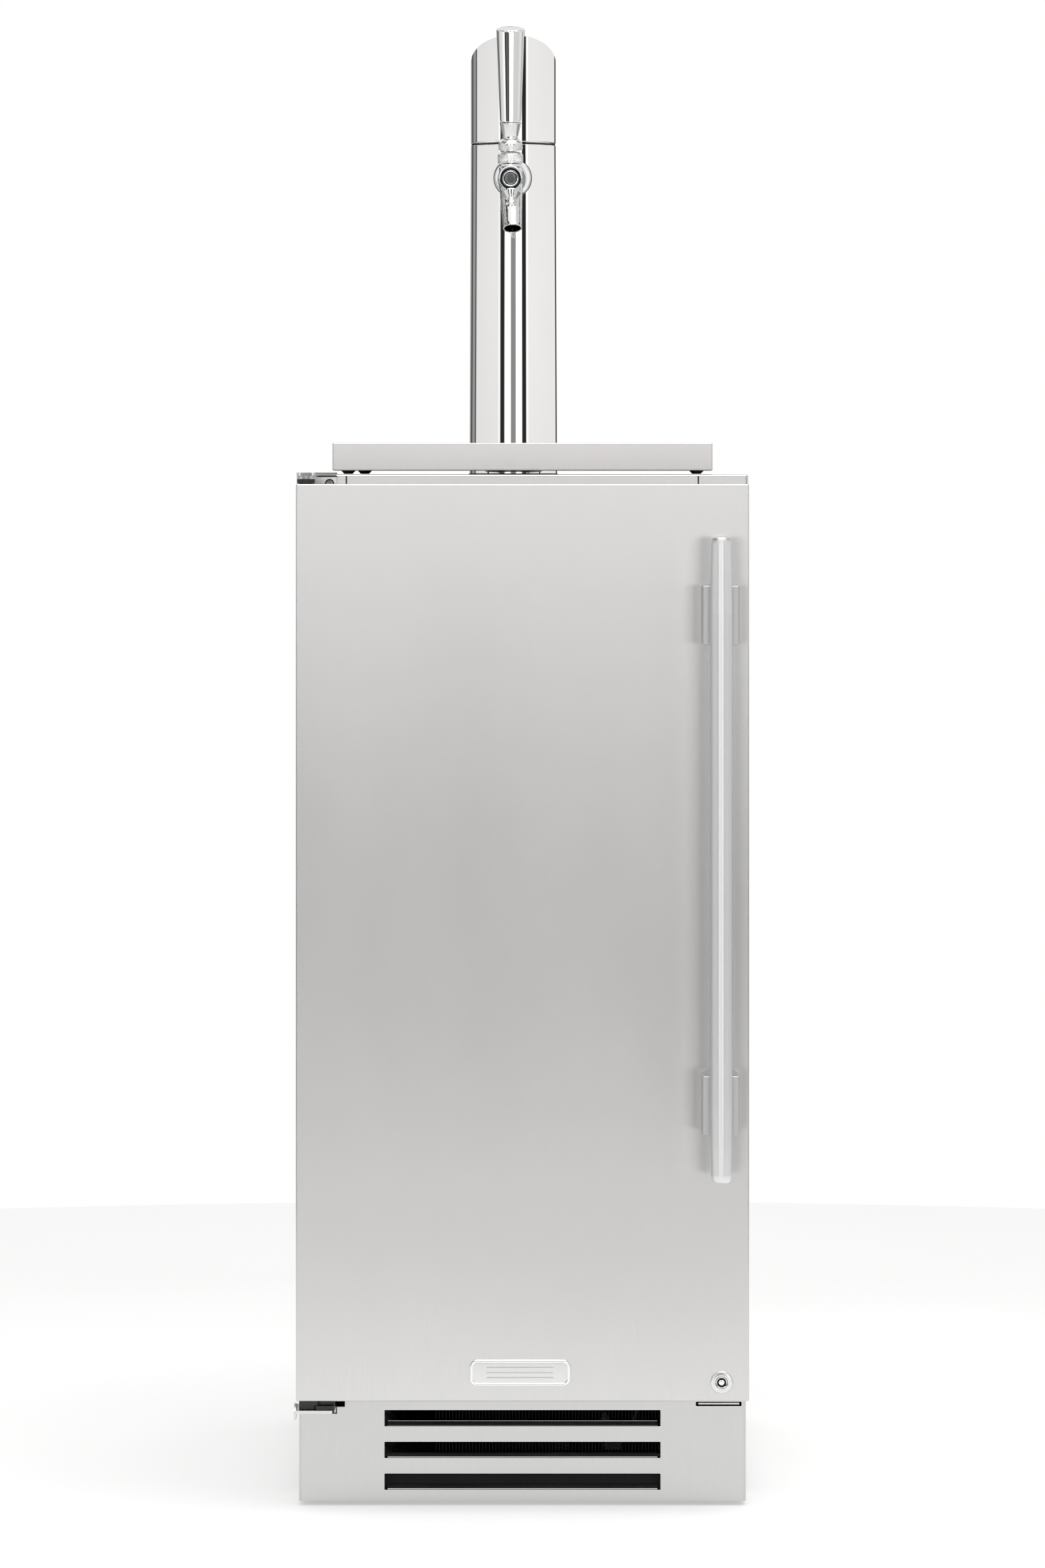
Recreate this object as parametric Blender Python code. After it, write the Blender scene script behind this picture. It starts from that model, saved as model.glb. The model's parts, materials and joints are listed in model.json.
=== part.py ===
"""Under-counter beer dispenser: a 15 inch cabinet with one draught tower on top.

Metres, +Z up. The origin is on the floor below the middle of the object, +X is to the right of
someone facing the door, and the door faces -Y. The cabinet is built as a sheet-metal wrapper
round foam and a liner, the refrigeration stands in the base and behind a step in the liner, and
the gas bottle, regulator, coupler and lines of the draught kit are inside.
"""

import math

import bmesh
import bpy
from mathutils import Matrix, Vector

# Driving dimensions
GAP = 0.0003
SHEET = 0.0015
CABINET_HALF = 0.190
CABINET_TOP = 0.8668
CABINET_BOTTOM = 0.022
CABINET_FRONT = -0.2265
CABINET_REAR = 0.337
DOOR_HALF = 0.189
DOOR_FRONT = -0.2835
DOOR_BACK = -0.2365
DOOR_BOTTOM = 0.0941
DOOR_TOP = 0.8587
HINGE = Vector((-0.181, -0.2635, 0.0))
PIN_RADIUS = 0.003
HINGE_PLATE = 0.0026
TOP_PLATE = 0.8682
BOTTOM_PLATE = 0.0858

# The cavity inside the liner, and the step over the compressor
CAVITY_HALF = 0.150
CAVITY_FLOOR = 0.160
CAVITY_TOP = 0.832
CAVITY_REAR = 0.290
STEP_FRONT = 0.085
STEP_TOP = 0.300
LINER = 0.002
FOAM_FRONT = -0.2215
BAY_FRONT = 0.112
BAY_TOP = 0.272
COLLAR_BACK = -0.2218

# The draught tower and its tap
TOWER = Vector((-0.008, 0.0, 0.0))
TOWER_RADIUS = 0.0382
TOWER_NECK = 0.0370
TOWER_WALL = 0.0015
TOWER_FOOT = CABINET_TOP + GAP
SEAM = 1.1544
TOWER_PEAK = 1.2483
TOP_SLOPE = math.tan(math.radians(30.0))
LINE_HOLE = 0.030
TAP_X = -0.0085
FAUCET_X = -0.0103
SHANK_Z = 1.1215
LEVER_PIVOT = Vector((FAUCET_X, -0.085, 1.138))
LEVER_LEAN = math.radians(10.0)
SPOUT_LEAN = math.radians(25.0)
SPOUT_ROLL = math.radians(-2.3)
LEVER_ARM = 0.0165

# The drip tray on top of the cabinet
TRAY_HALF = 0.160
TRAY_FRONT = -0.225
TRAY_BACK = -0.050
TRAY_BOTTOM = 0.8698
TRAY_TOP = 0.8932
TRAY_FEET = ((-0.147, -0.205), (0.147, -0.205), (-0.136, -0.070), (0.150, -0.070))

# The kick grille under the door
GRILLE_FRONT = -0.2315
GRILLE_HALF = 0.1879
GRILLE_BOTTOM = 0.0037
GRILLE_TOP = 0.0935
LOUVRE_HALF = 0.116
LOUVRE_LOW = 0.0131
LOUVRE_PITCH = 0.0267
LOUVRE_HEIGHT = 0.0136
TOE_BACK = -0.140

# The handle, the badge and the lock on the door
HANDLE_X = 0.1643
HANDLE_Y = -0.3285
HANDLE_RADIUS = 0.0095
HANDLE_LOW = 0.280
HANDLE_HIGH = 0.8154
LOCK = Vector((0.166, 0.0, 0.1098))

STEEL = ("brushed stainless steel", (0.62, 0.61, 0.59), 0.32, 1.0)
POLISHED = ("polished steel", (0.75, 0.75, 0.74), 0.08, 1.0)
CHROME = ("chrome", (0.82, 0.82, 0.82), 0.05, 1.0)
SATIN = ("satin steel", (0.68, 0.68, 0.67), 0.25, 1.0)
ZINC = ("zinc plated steel", (0.55, 0.55, 0.53), 0.4, 1.0)
FOAM = ("polyurethane foam", (0.80, 0.72, 0.45), 0.9, 0.0)
LINER_LOOK = ("liner", (0.70, 0.70, 0.69), 0.35, 1.0)
BLACK = ("black plastic", (0.03, 0.03, 0.03), 0.5, 0.0)
RUBBER = ("rubber", (0.02, 0.02, 0.02), 0.85, 0.0)
BLACK_PAINT = ("black paint", (0.02, 0.02, 0.02), 0.4, 0.0)
ALUMINIUM = ("aluminium", (0.7, 0.7, 0.72), 0.35, 1.0)
BRASS = ("brass", (0.65, 0.48, 0.2), 0.3, 1.0)
TUBING = ("clear tubing", (0.75, 0.72, 0.6), 0.3, 0.0)

TURN = {
    "+Z": Matrix.Identity(4),
    "+Y": Matrix.Rotation(-math.pi / 2, 4, "X"),
    "-Y": Matrix.Rotation(math.pi / 2, 4, "X"),
}


def clear_scene():
    for old in list(bpy.data.objects):
        bpy.data.objects.remove(old, do_unlink=True)


def paint(obj, look):
    name, colour, roughness, metallic = look
    material = bpy.data.materials.get(name)
    if material is None:
        material = bpy.data.materials.new(name)
        material.use_nodes = True
        shader = material.node_tree.nodes["Principled BSDF"]
        shader.inputs["Base Color"].default_value = (*colour, 1.0)
        shader.inputs["Roughness"].default_value = roughness
        shader.inputs["Metallic"].default_value = metallic
    obj.data.materials.append(material)


def add(name, mesh_or_curve, look=None, place=None):
    """Links a named object. Without a look it is a tool, which stays out of the model."""
    obj = bpy.data.objects.new(name, mesh_or_curve)
    bpy.context.scene.collection.objects.link(obj)
    if place is not None:
        obj.matrix_world = place
    if look is None:
        obj.hide_render = True
        obj.display_type = "WIRE"
    else:
        paint(obj, look)
    return obj


def mesh_from(name, bm, smooth=False):
    bmesh.ops.recalc_face_normals(bm, faces=bm.faces)
    mesh = bpy.data.meshes.new(name)
    bm.to_mesh(mesh)
    bm.free()
    if smooth:
        mesh.shade_smooth()
        mesh.set_sharp_from_angle(angle=math.radians(35.0))
    return mesh


def block(name, low, high, look=None):
    """A box between two opposite corners, with its origin at its middle."""
    low, high = Vector(low), Vector(high)
    size = high - low
    bm = bmesh.new()
    bmesh.ops.create_cube(bm, size=1.0, matrix=Matrix.Diagonal((*size, 1.0)))
    return add(name, mesh_from(name, bm), look, Matrix.Translation((low + high) / 2))


def turned(name, profile, base, axis="+Z", look=None, sides=24, ring=False):
    """A solid of revolution. The profile runs from the base along the axis as (radius, height).

    A ring's profile is a closed loop off the axis. Any other profile starts and ends on the axis,
    where its first and last radius are 0."""
    bm = bmesh.new()
    rows = []
    for radius, height in profile:
        if radius == 0.0:
            rows.append([bm.verts.new((0.0, 0.0, height))] * sides)
            continue
        angles = [2 * math.pi * i / sides for i in range(sides)]
        rows.append([
            bm.verts.new((radius * math.cos(a), radius * math.sin(a), height)) for a in angles
        ])
    pairs = list(zip(rows, rows[1:]))
    if ring:
        pairs.append((rows[-1], rows[0]))
    for lower, upper in pairs:
        for i in range(sides):
            j = (i + 1) % sides
            corners = [lower[i], lower[j], upper[j], upper[i]]
            bm.faces.new(list(dict.fromkeys(corners)))
    place = Matrix.Translation(base) @ TURN[axis]
    return add(name, mesh_from(name, bm, smooth=True), look, place)


def rod(name, base, radius, length, axis="+Z", look=None, sides=24):
    profile = [(0.0, 0.0), (radius, 0.0), (radius, length), (0.0, length)]
    return turned(name, profile, base, axis, look, sides)


def pipe(name, base, outer, inner, length, axis="+Z", look=None, sides=24):
    profile = [(outer, 0.0), (outer, length), (inner, length), (inner, 0.0)]
    return turned(name, profile, base, axis, look, sides, ring=True)


def change(target, operation, tools):
    for tool in tools:
        modifier = target.modifiers.new(f"{operation.lower()} {tool.name}", "BOOLEAN")
        modifier.operation = operation
        modifier.solver = "EXACT"
        modifier.object = tool
    return target


def cut(target, *tools):
    return change(target, "DIFFERENCE", tools)


def join(target, *tools):
    return change(target, "UNION", tools)


def soften(obj, width, segments=2):
    """Rounds the edges of a plain block."""
    modifier = obj.modifiers.new("rounded edges", "BEVEL")
    modifier.width = width
    modifier.segments = segments
    return obj


def pivot(name, location, *pieces):
    """An empty on a joint's axis, which carries the pieces that move about it."""
    empty = bpy.data.objects.new(name, None)
    bpy.context.scene.collection.objects.link(empty)
    empty.location = location
    for piece in pieces:
        piece.parent = empty
        piece.matrix_parent_inverse = Matrix.Translation(-Vector(location))
    return empty


def line(name, points, radius, look):
    """A hose along a smooth curve through hand-chosen points."""
    knots = [Vector(p) for p in points]
    smooth = [knots[0]]
    ends = [2 * knots[0] - knots[1], *knots, 2 * knots[-1] - knots[-2]]
    for p0, p1, p2, p3 in zip(ends, ends[1:], ends[2:], ends[3:]):
        pieces = max(2, round((p2 - p1).length / (5 * radius)))
        for i in range(1, pieces + 1):
            t = i / pieces
            smooth.append(0.5 * (
                2 * p1 + (p2 - p0) * t + (2 * p0 - 5 * p1 + 4 * p2 - p3) * t ** 2
                + (3 * p1 - p0 - 3 * p2 + p3) * t ** 3
            ))
    curve = bpy.data.curves.new(name, "CURVE")
    curve.dimensions = "3D"
    curve.bevel_depth = radius
    curve.bevel_resolution = 2
    curve.use_fill_caps = True
    spline = curve.splines.new("POLY")
    spline.points.add(len(smooth) - 1)
    for point, place in zip(spline.points, smooth):
        point.co = (*place, 1.0)
    return add(name, curve, look)


def line_hole(name):
    return rod(name, (TOWER.x, TOWER.y, 0.80), LINE_HOLE, 0.10, sides=20)


def build_cabinet():
    shell = block(
        "outer_shell",
        (-CABINET_HALF, CABINET_FRONT, CABINET_BOTTOM),
        (CABINET_HALF, CABINET_REAR, CABINET_TOP),
        STEEL,
    )
    hollow = block(
        "shell_hollow",
        (SHEET - CABINET_HALF, CABINET_FRONT - 0.05, 0.0),
        (CABINET_HALF - SHEET, CABINET_REAR - SHEET, CABINET_TOP - SHEET),
    )
    service = block("service_opening", (-0.165, 0.30, 0.045), (0.165, 0.36, 0.262))
    toe = block("toe_notch", (-0.25, CABINET_FRONT - 0.05, 0.0), (0.25, TOE_BACK, DOOR_BOTTOM))
    cut(shell, hollow, service, line_hole("shell_line_hole"), toe)

    inside = CABINET_HALF - SHEET - GAP
    foam = block(
        "foam_jacket",
        (-inside, FOAM_FRONT, 0.135),
        (inside, CABINET_REAR - SHEET - GAP, CABINET_TOP - SHEET - GAP),
        FOAM,
    )
    wall = CAVITY_HALF + LINER + GAP
    low = CAVITY_FLOOR - LINER - GAP
    high = CAVITY_TOP + LINER + GAP
    front_space = block(
        "foam_front_space", (-wall, -0.30, low), (wall, STEP_FRONT + LINER + GAP, high)
    )
    rear_space = block(
        "foam_rear_space",
        (-wall, 0.0, STEP_TOP - LINER - GAP),
        (wall, CAVITY_REAR + LINER + GAP, high),
    )
    bay = block("foam_compressor_bay", (-0.30, BAY_FRONT, 0.0), (0.30, 0.50, BAY_TOP))
    cut(foam, front_space, rear_space, bay, line_hole("foam_line_hole"))

    liner = block(
        "inner_liner",
        (-CAVITY_HALF - LINER, FOAM_FRONT, CAVITY_FLOOR - LINER),
        (CAVITY_HALF + LINER, STEP_FRONT + LINER, CAVITY_TOP + LINER),
        LINER_LOOK,
    )
    upper = block(
        "liner_rear_part",
        (-CAVITY_HALF - LINER, 0.0, STEP_TOP - LINER),
        (CAVITY_HALF + LINER, CAVITY_REAR + LINER, CAVITY_TOP + LINER),
    )
    front_room = block(
        "liner_front_room", (-CAVITY_HALF, -0.30, CAVITY_FLOOR), (CAVITY_HALF, STEP_FRONT, CAVITY_TOP)
    )
    rear_room = block(
        "liner_rear_room", (-CAVITY_HALF, -0.05, STEP_TOP), (CAVITY_HALF, CAVITY_REAR, CAVITY_TOP)
    )
    join(liner, upper)
    cut(liner, front_room, rear_room, line_hole("liner_line_hole"))

    collar = block(
        "breaker_collar", (-inside, CABINET_FRONT, 0.100), (inside, COLLAR_BACK, 0.8447), BLACK
    )
    mouth = block(
        "collar_mouth", (-CAVITY_HALF, -0.25, CAVITY_FLOOR), (CAVITY_HALF, -0.20, CAVITY_TOP)
    )
    cut(collar, mouth)

    build_top_trim(inside)
    build_base(inside)


def build_top_trim(inside):
    """The strip over the door, in three pieces with a shadow gap between them."""
    low, high = 0.845, CABINET_TOP - SHEET - GAP
    ends = ((-inside, -0.1488), (-0.1478, 0.1475), (0.1485, inside))
    names = ("corner_plate_left", "top_rail", "corner_plate_right")
    for name, (left, right) in zip(names, ends):
        block(name, (left, CABINET_FRONT, low), (right, COLLAR_BACK, high), STEEL)


def foot_places():
    return [(x, y) for y in (-0.160, 0.305) for x in (-0.165, 0.165)]


def build_base(inside):
    pan = block("base_pan", (-inside, -0.222, CABINET_BOTTOM), (inside, 0.335, 0.042), BLACK_PAINT)
    room = block(
        "base_pan_room",
        (SHEET - inside, SHEET - 0.222, CABINET_BOTTOM + SHEET),
        (inside - SHEET, 0.335 - SHEET, 0.060),
    )
    cut(pan, room)
    for number, (x, y) in enumerate(foot_places(), 1):
        cut(pan, rod(f"foot_hole_{number}", (x, y, 0.0), 0.0056, 0.060, sides=16))
        profile = [
            (0.0, 0.0), (0.016, 0.0), (0.017, 0.002), (0.017, 0.009),
            (0.005, 0.012), (0.005, 0.054), (0.0, 0.054),
        ]
        foot = turned(f"levelling_foot_{number}", profile, (x, y, 0.0), look=RUBBER, sides=16)
        pivot(f"foot_axis_{number}", (x, y, 0.0), foot)

    cover = block(
        "rear_cover",
        (-0.175, CABINET_REAR + GAP, 0.035),
        (0.175, CABINET_REAR + GAP + SHEET, 0.272),
        ZINC,
    )
    for row in range(6):
        z = 0.070 + 0.032 * row
        cut(cover, block(f"vent_slot_{row}", (-0.125, 0.30, z), (0.125, 0.36, z + 0.010)))
    inlet_face = CABINET_REAR + GAP + 0.007
    inlet = block("power_inlet", (0.128, CABINET_REAR + GAP, 0.284), (0.172, inlet_face, 0.316), BLACK)
    cut(inlet, block("inlet_socket", (0.137, inlet_face - 0.0045, 0.2905), (0.163, 0.360, 0.3095)))


def build_grille():
    grille = block(
        "kick_grille",
        (-GRILLE_HALF, GRILLE_FRONT, GRILLE_BOTTOM),
        (GRILLE_HALF, CABINET_FRONT - GAP, GRILLE_TOP),
        STEEL,
    )
    behind = block(
        "grille_back",
        (SHEET - GRILLE_HALF, GRILLE_FRONT + SHEET, -0.05),
        (GRILLE_HALF - SHEET, -0.20, GRILLE_TOP - SHEET),
    )
    cut(grille, behind)
    for row in range(3):
        low = LOUVRE_LOW + LOUVRE_PITCH * row
        slot = block(
            f"louvre_slot_{row}", (-LOUVRE_HALF, -0.25, low), (LOUVRE_HALF, -0.21, low + LOUVRE_HEIGHT)
        )
        lip = block(
            f"louvre_lip_{row}",
            (0.002 - LOUVRE_HALF, GRILLE_FRONT + 0.0005, low - 0.0012),
            (LOUVRE_HALF - 0.002, GRILLE_FRONT + 0.0075, low - 0.0001),
        )
        cut(grille, slot)
        join(grille, lip)
    hinge_room = block("grille_hinge_room", (-0.20, -0.25, 0.0770), (-0.1561, -0.21, 0.12))
    step = block("grille_hinge_step", (-0.157, -0.25, 0.0829), (-0.1494, -0.21, 0.12))
    strike = block("grille_strike_slot", (0.1458, -0.25, 0.0835), (0.1842, -0.21, 0.0871))
    cut(grille, hinge_room, step, strike)


def build_hinges():
    upper = block(
        "top_hinge_bracket",
        (-0.1885, -0.2755, TOP_PLATE - HINGE_PLATE),
        (-0.156, CABINET_FRONT - GAP, TOP_PLATE),
        STEEL,
    )
    tab = block(
        "top_hinge_tab", (-0.185, -0.229, 0.8505), (-0.1565, CABINET_FRONT - GAP, TOP_PLATE - 0.001)
    )
    pin_low = DOOR_TOP - 0.0107
    pin = rod(
        "top_hinge_pin", (HINGE.x, HINGE.y, pin_low), PIN_RADIUS, TOP_PLATE - 0.001 - pin_low, sides=16
    )
    join(upper, tab, pin)

    under = BOTTOM_PLATE - HINGE_PLATE
    lower = block(
        "bottom_hinge_bracket", (-0.190, -0.280, under), (-0.1566, -0.233, BOTTOM_PLATE), STEEL
    )
    neck = block("bottom_hinge_neck", (-0.186, -0.234, under), (-0.1566, -0.2225, BOTTOM_PLATE))
    flange = block(
        "bottom_hinge_flange", (-0.186, -0.2262, 0.045), (-0.1566, -0.2225, BOTTOM_PLATE - 0.001)
    )
    ear = block("bottom_hinge_ear", (-0.1908, -0.278, 0.0775), (-0.1885, -0.245, 0.0886))
    pin = rod("bottom_hinge_pin", (HINGE.x, HINGE.y, under + 0.001), PIN_RADIUS, 0.0218, sides=16)
    join(lower, neck, flange, ear, pin)

    closer = block(
        "hinge_closer",
        (-0.1865, -0.2775, BOTTOM_PLATE + GAP),
        (-0.157, -0.248, DOOR_BOTTOM - 0.0005),
        BLACK,
    )
    cut(closer, rod("closer_bore", (HINGE.x, HINGE.y, 0.05), 0.0034, 0.06, sides=16))


def build_refrigeration():
    condenser = block("condenser", (-0.075, -0.2195, 0.024), (0.170, -0.188, 0.128), BLACK_PAINT)
    shroud = pipe("condenser_shroud", (0.05, -0.189, 0.077), 0.051, 0.0485, 0.028, "+Y", sides=20)
    motor = rod("condenser_motor", (0.05, -0.189, 0.077), 0.018, 0.012, "+Y", sides=16)
    join(condenser, shroud, motor)
    fan("condenser_fan", (0.05, -0.1765, 0.077), "+Y", 0.0465, 0.014)

    dome = [
        (0.0, 0.0), (0.072, 0.0), (0.076, 0.012), (0.076, 0.085),
        (0.066, 0.118), (0.040, 0.136), (0.0, 0.142),
    ]
    compressor = turned("compressor", dome, (-0.045, 0.222, 0.042), look=BLACK_PAINT, sides=20)
    plate = block("compressor_plate", (-0.135, 0.150, 0.0300), (0.045, 0.294, 0.0425))
    terminals = block("compressor_terminals", (0.020, 0.195, 0.070), (0.052, 0.249, 0.130))
    join(compressor, plate, terminals)

    cover = block("evaporator_cover", (-0.145, 0.236, 0.622), (0.145, 0.2895, 0.828), LINER_LOOK)
    room = block("evaporator_cover_room", (-0.1432, 0.2378, 0.6238), (0.1432, 0.30, 0.8262))
    outlet = rod("evaporator_outlet", (0.0, 0.20, 0.774), 0.043, 0.10, "+Y", sides=20)
    cut(cover, room, outlet)
    for row in range(4):
        z = 0.632 + 0.016 * row
        cut(cover, block(f"return_slot_{row}", (-0.11, 0.20, z), (0.11, 0.26, z + 0.006)))
    spider = block("fan_spider", (-0.1438, 0.2640, 0.771), (0.1438, 0.2665, 0.777))
    motor = rod("fan_motor", (0.0, 0.2570, 0.774), 0.017, 0.012, "+Y", sides=16)
    join(cover, spider, motor)
    fan("evaporator_fan", (0.0, 0.2410, 0.774), "+Y", 0.0405, 0.014)
    block("evaporator_coil", (-0.130, 0.246, 0.630), (0.130, 0.284, 0.715), ALUMINIUM)


def fan(name, base, axis, radius, depth):
    """A hub with pitched blades, turning on the axis through its base."""
    hub = rod(name, base, 0.4 * radius, depth, axis, BLACK, sides=16)
    blades = 5
    for number in range(blades):
        bm = bmesh.new()
        size = Matrix.Diagonal((0.66 * radius, 0.0014, 0.8 * depth, 1.0))
        bmesh.ops.create_cube(bm, size=1.0, matrix=size)
        tool = add(f"{name}_blade_{number}", mesh_from(f"{name}_blade", bm))
        outward = Matrix.Translation((0.66 * radius, 0.0, 0.5 * depth))
        tool.matrix_world = (
            Matrix.Translation(base) @ TURN[axis]
            @ Matrix.Rotation(2 * math.pi * number / blades, 4, "Z")
            @ outward @ Matrix.Rotation(math.radians(50.0), 4, "X")
        )
        join(hub, tool)
    return hub


def build_controls():
    housing = block("control_housing", (-0.070, -0.200, 0.804), (0.070, -0.150, 0.8317), BLACK)
    buttons = (("temperature_down_button", 0.034), ("temperature_up_button", 0.054))
    for name, x in buttons:
        base = (x, -0.2025, 0.818)
        cut(housing, rod(f"{name}_well", (x, -0.21, 0.818), 0.0066, 0.022, "+Y", sides=16))
        button = rod(name, base, 0.006, 0.009, "+Y", BLACK, sides=16)
        pivot(f"{name}_axis", base, button)


def build_door():
    skin = block(
        "door_skin", (-DOOR_HALF, DOOR_FRONT, DOOR_BOTTOM), (DOOR_HALF, DOOR_BACK, DOOR_TOP), STEEL
    )
    wall = 0.0012
    room = block(
        "door_skin_room",
        (wall - DOOR_HALF, DOOR_FRONT + wall, DOOR_BOTTOM + wall),
        (DOOR_HALF - wall, -0.20, DOOR_TOP - wall),
    )
    edge = wall + GAP
    liner_front = DOOR_BACK - 0.006
    foam = block(
        "door_foam",
        (edge - DOOR_HALF, DOOR_FRONT + edge, DOOR_BOTTOM + edge),
        (DOOR_HALF - edge, liner_front - GAP, DOOR_TOP - edge),
        FOAM,
    )
    liner = block(
        "door_liner",
        (edge - DOOR_HALF, liner_front, DOOR_BOTTOM + edge),
        (DOOR_HALF - edge, DOOR_BACK - GAP, DOOR_TOP - edge),
        LINER_LOOK,
    )
    raised = block("door_liner_dyke", (-0.138, DOOR_BACK - 0.002, 0.175), (0.138, -0.216, 0.818))
    dished = block("door_liner_dish", (-0.124, DOOR_BACK + 0.0035, 0.189), (0.124, -0.20, 0.804))
    join(liner, raised)
    cut(liner, dished)

    gasket = block(
        "door_gasket", (-0.178, DOOR_BACK, 0.104), (0.178, CABINET_FRONT - 2 * GAP, 0.849), RUBBER
    )
    cut(gasket, block("gasket_opening", (-0.163, -0.25, 0.119), (0.163, -0.21, 0.834)))

    bushing = turned(
        "door_bushing",
        [(0.0, 0.0), (0.006, 0.0), (0.006, 0.023), (0.0032, 0.023), (0.0032, 0.006), (0.0, 0.006)],
        (HINGE.x, HINGE.y, 0.840), look=BLACK, sides=16,
    )
    bushing_hole = rod("bushing_hole", (HINGE.x, HINGE.y, 0.8395), 0.0064, 0.03, sides=16)
    pin_hole = rod("pin_hole", (HINGE.x, HINGE.y, 0.09), 0.0042, 0.018, sides=16)
    lock_hole = rod("lock_hole", (LOCK.x, -0.30, LOCK.z), 0.0068, 0.050, "+Y", sides=20)
    cam_room = block("lock_cam_room", (0.139, -0.2535, 0.0956), (0.1735, -0.2428, 0.1165))
    cam_slot = block("lock_cam_slot", (0.1425, -0.2530, 0.090), (0.1735, -0.2428, 0.1000))
    cut(skin, room, bushing_hole, pin_hole, lock_hole, cam_slot)
    cut(foam, bushing_hole, pin_hole, lock_hole, cam_room)
    door = [skin, foam, liner, gasket, bushing, *build_handle(), *build_lock()]
    badge = block("badge", (-0.044, DOOR_FRONT - 0.003, 0.107), (0.040, DOOR_FRONT - GAP, 0.129), CHROME)
    soften(badge, 0.001)
    tools = [room, raised, dished, bushing_hole, pin_hole, lock_hole, cam_room, cam_slot]
    pivot("door_hinge_axis", HINGE, badge, *door, *tools)


def build_handle():
    round_end = [
        (0.0, 0.0), (0.0055, 0.0), (0.0075, 0.001), (0.0085, 0.003), (HANDLE_RADIUS, 0.012),
    ]
    length = HANDLE_HIGH - HANDLE_LOW
    profile = round_end + [(radius, length - height) for radius, height in reversed(round_end)]
    bar = turned("handle_bar", profile, (HANDLE_X, HANDLE_Y, HANDLE_LOW), look=SATIN)
    pieces = [bar]
    for name, z in (("handle_mount_lower", 0.344), ("handle_mount_upper", 0.750)):
        mount = block(
            name,
            (HANDLE_X - 0.0155, -0.324, z - 0.02475),
            (HANDLE_X + 0.0155, DOOR_FRONT - GAP, z + 0.02475),
            SATIN,
        )
        soften(mount, 0.004)
        seat = rod(f"{name}_seat", (HANDLE_X, HANDLE_Y, z - 0.05), HANDLE_RADIUS + GAP, 0.1)
        pieces += [cut(mount, seat), seat]
    return pieces


def build_lock():
    """A key lock whose cam swings down behind the strike under the door."""
    profile = [
        (0.0095, 0.0), (0.0095, 0.0012), (0.0065, 0.0012), (0.0065, 0.0325),
        (0.0050, 0.0325), (0.0050, 0.0),
    ]
    base = (LOCK.x, DOOR_FRONT - 0.0015, LOCK.z)
    housing = turned("lock_housing", profile, base, "+Y", CHROME, sides=20, ring=True)
    barrel = rod("lock_barrel", base, 0.0047, 0.036, "+Y", CHROME, sides=20)
    arm = block(
        "lock_cam", (LOCK.x - 0.0215, -0.2505, LOCK.z - 0.004), (LOCK.x + 0.004, -0.2483, LOCK.z + 0.004)
    )
    join(barrel, arm)
    return [housing, barrel, arm]


def build_tower():
    length = SEAM - GAP - TOWER_FOOT
    foot = (TOWER.x, TOWER.y, TOWER_FOOT)
    inner = TOWER_NECK - TOWER_WALL
    column = turned(
        "tower_column",
        [(TOWER_RADIUS, 0.0), (TOWER_NECK, length), (inner, length), (inner, 0.0)],
        foot, look=POLISHED, sides=40, ring=True,
    )
    cut(column, rod("shank_hole", (TAP_X, -0.06, SHANK_Z), 0.0115, 0.05, "+Y"))

    side_top = TOWER_PEAK - TOWER_NECK * TOP_SLOPE - SEAM - GAP
    spigot = 0.012
    bore_top = 0.045
    profile = [
        (0.0, -spigot), (inner - GAP, -spigot), (inner - GAP, 0.0), (TOWER_NECK, 0.0),
        (TOWER_NECK, side_top), (0.0, side_top),
    ]
    base = Vector((TOWER.x, TOWER.y, SEAM + GAP))
    cap = turned("tower_cap", profile, base, look=POLISHED, sides=40)
    for vertex in cap.data.vertices:
        if vertex.co.z > side_top - GAP:
            vertex.co.z -= TOP_SLOPE * vertex.co.y
    bore_base = base - Vector((0.0, 0.0, spigot + 0.01))
    cut(cap, rod("cap_bore", bore_base, inner - 0.002, spigot + 0.01 + bore_top))


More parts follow.
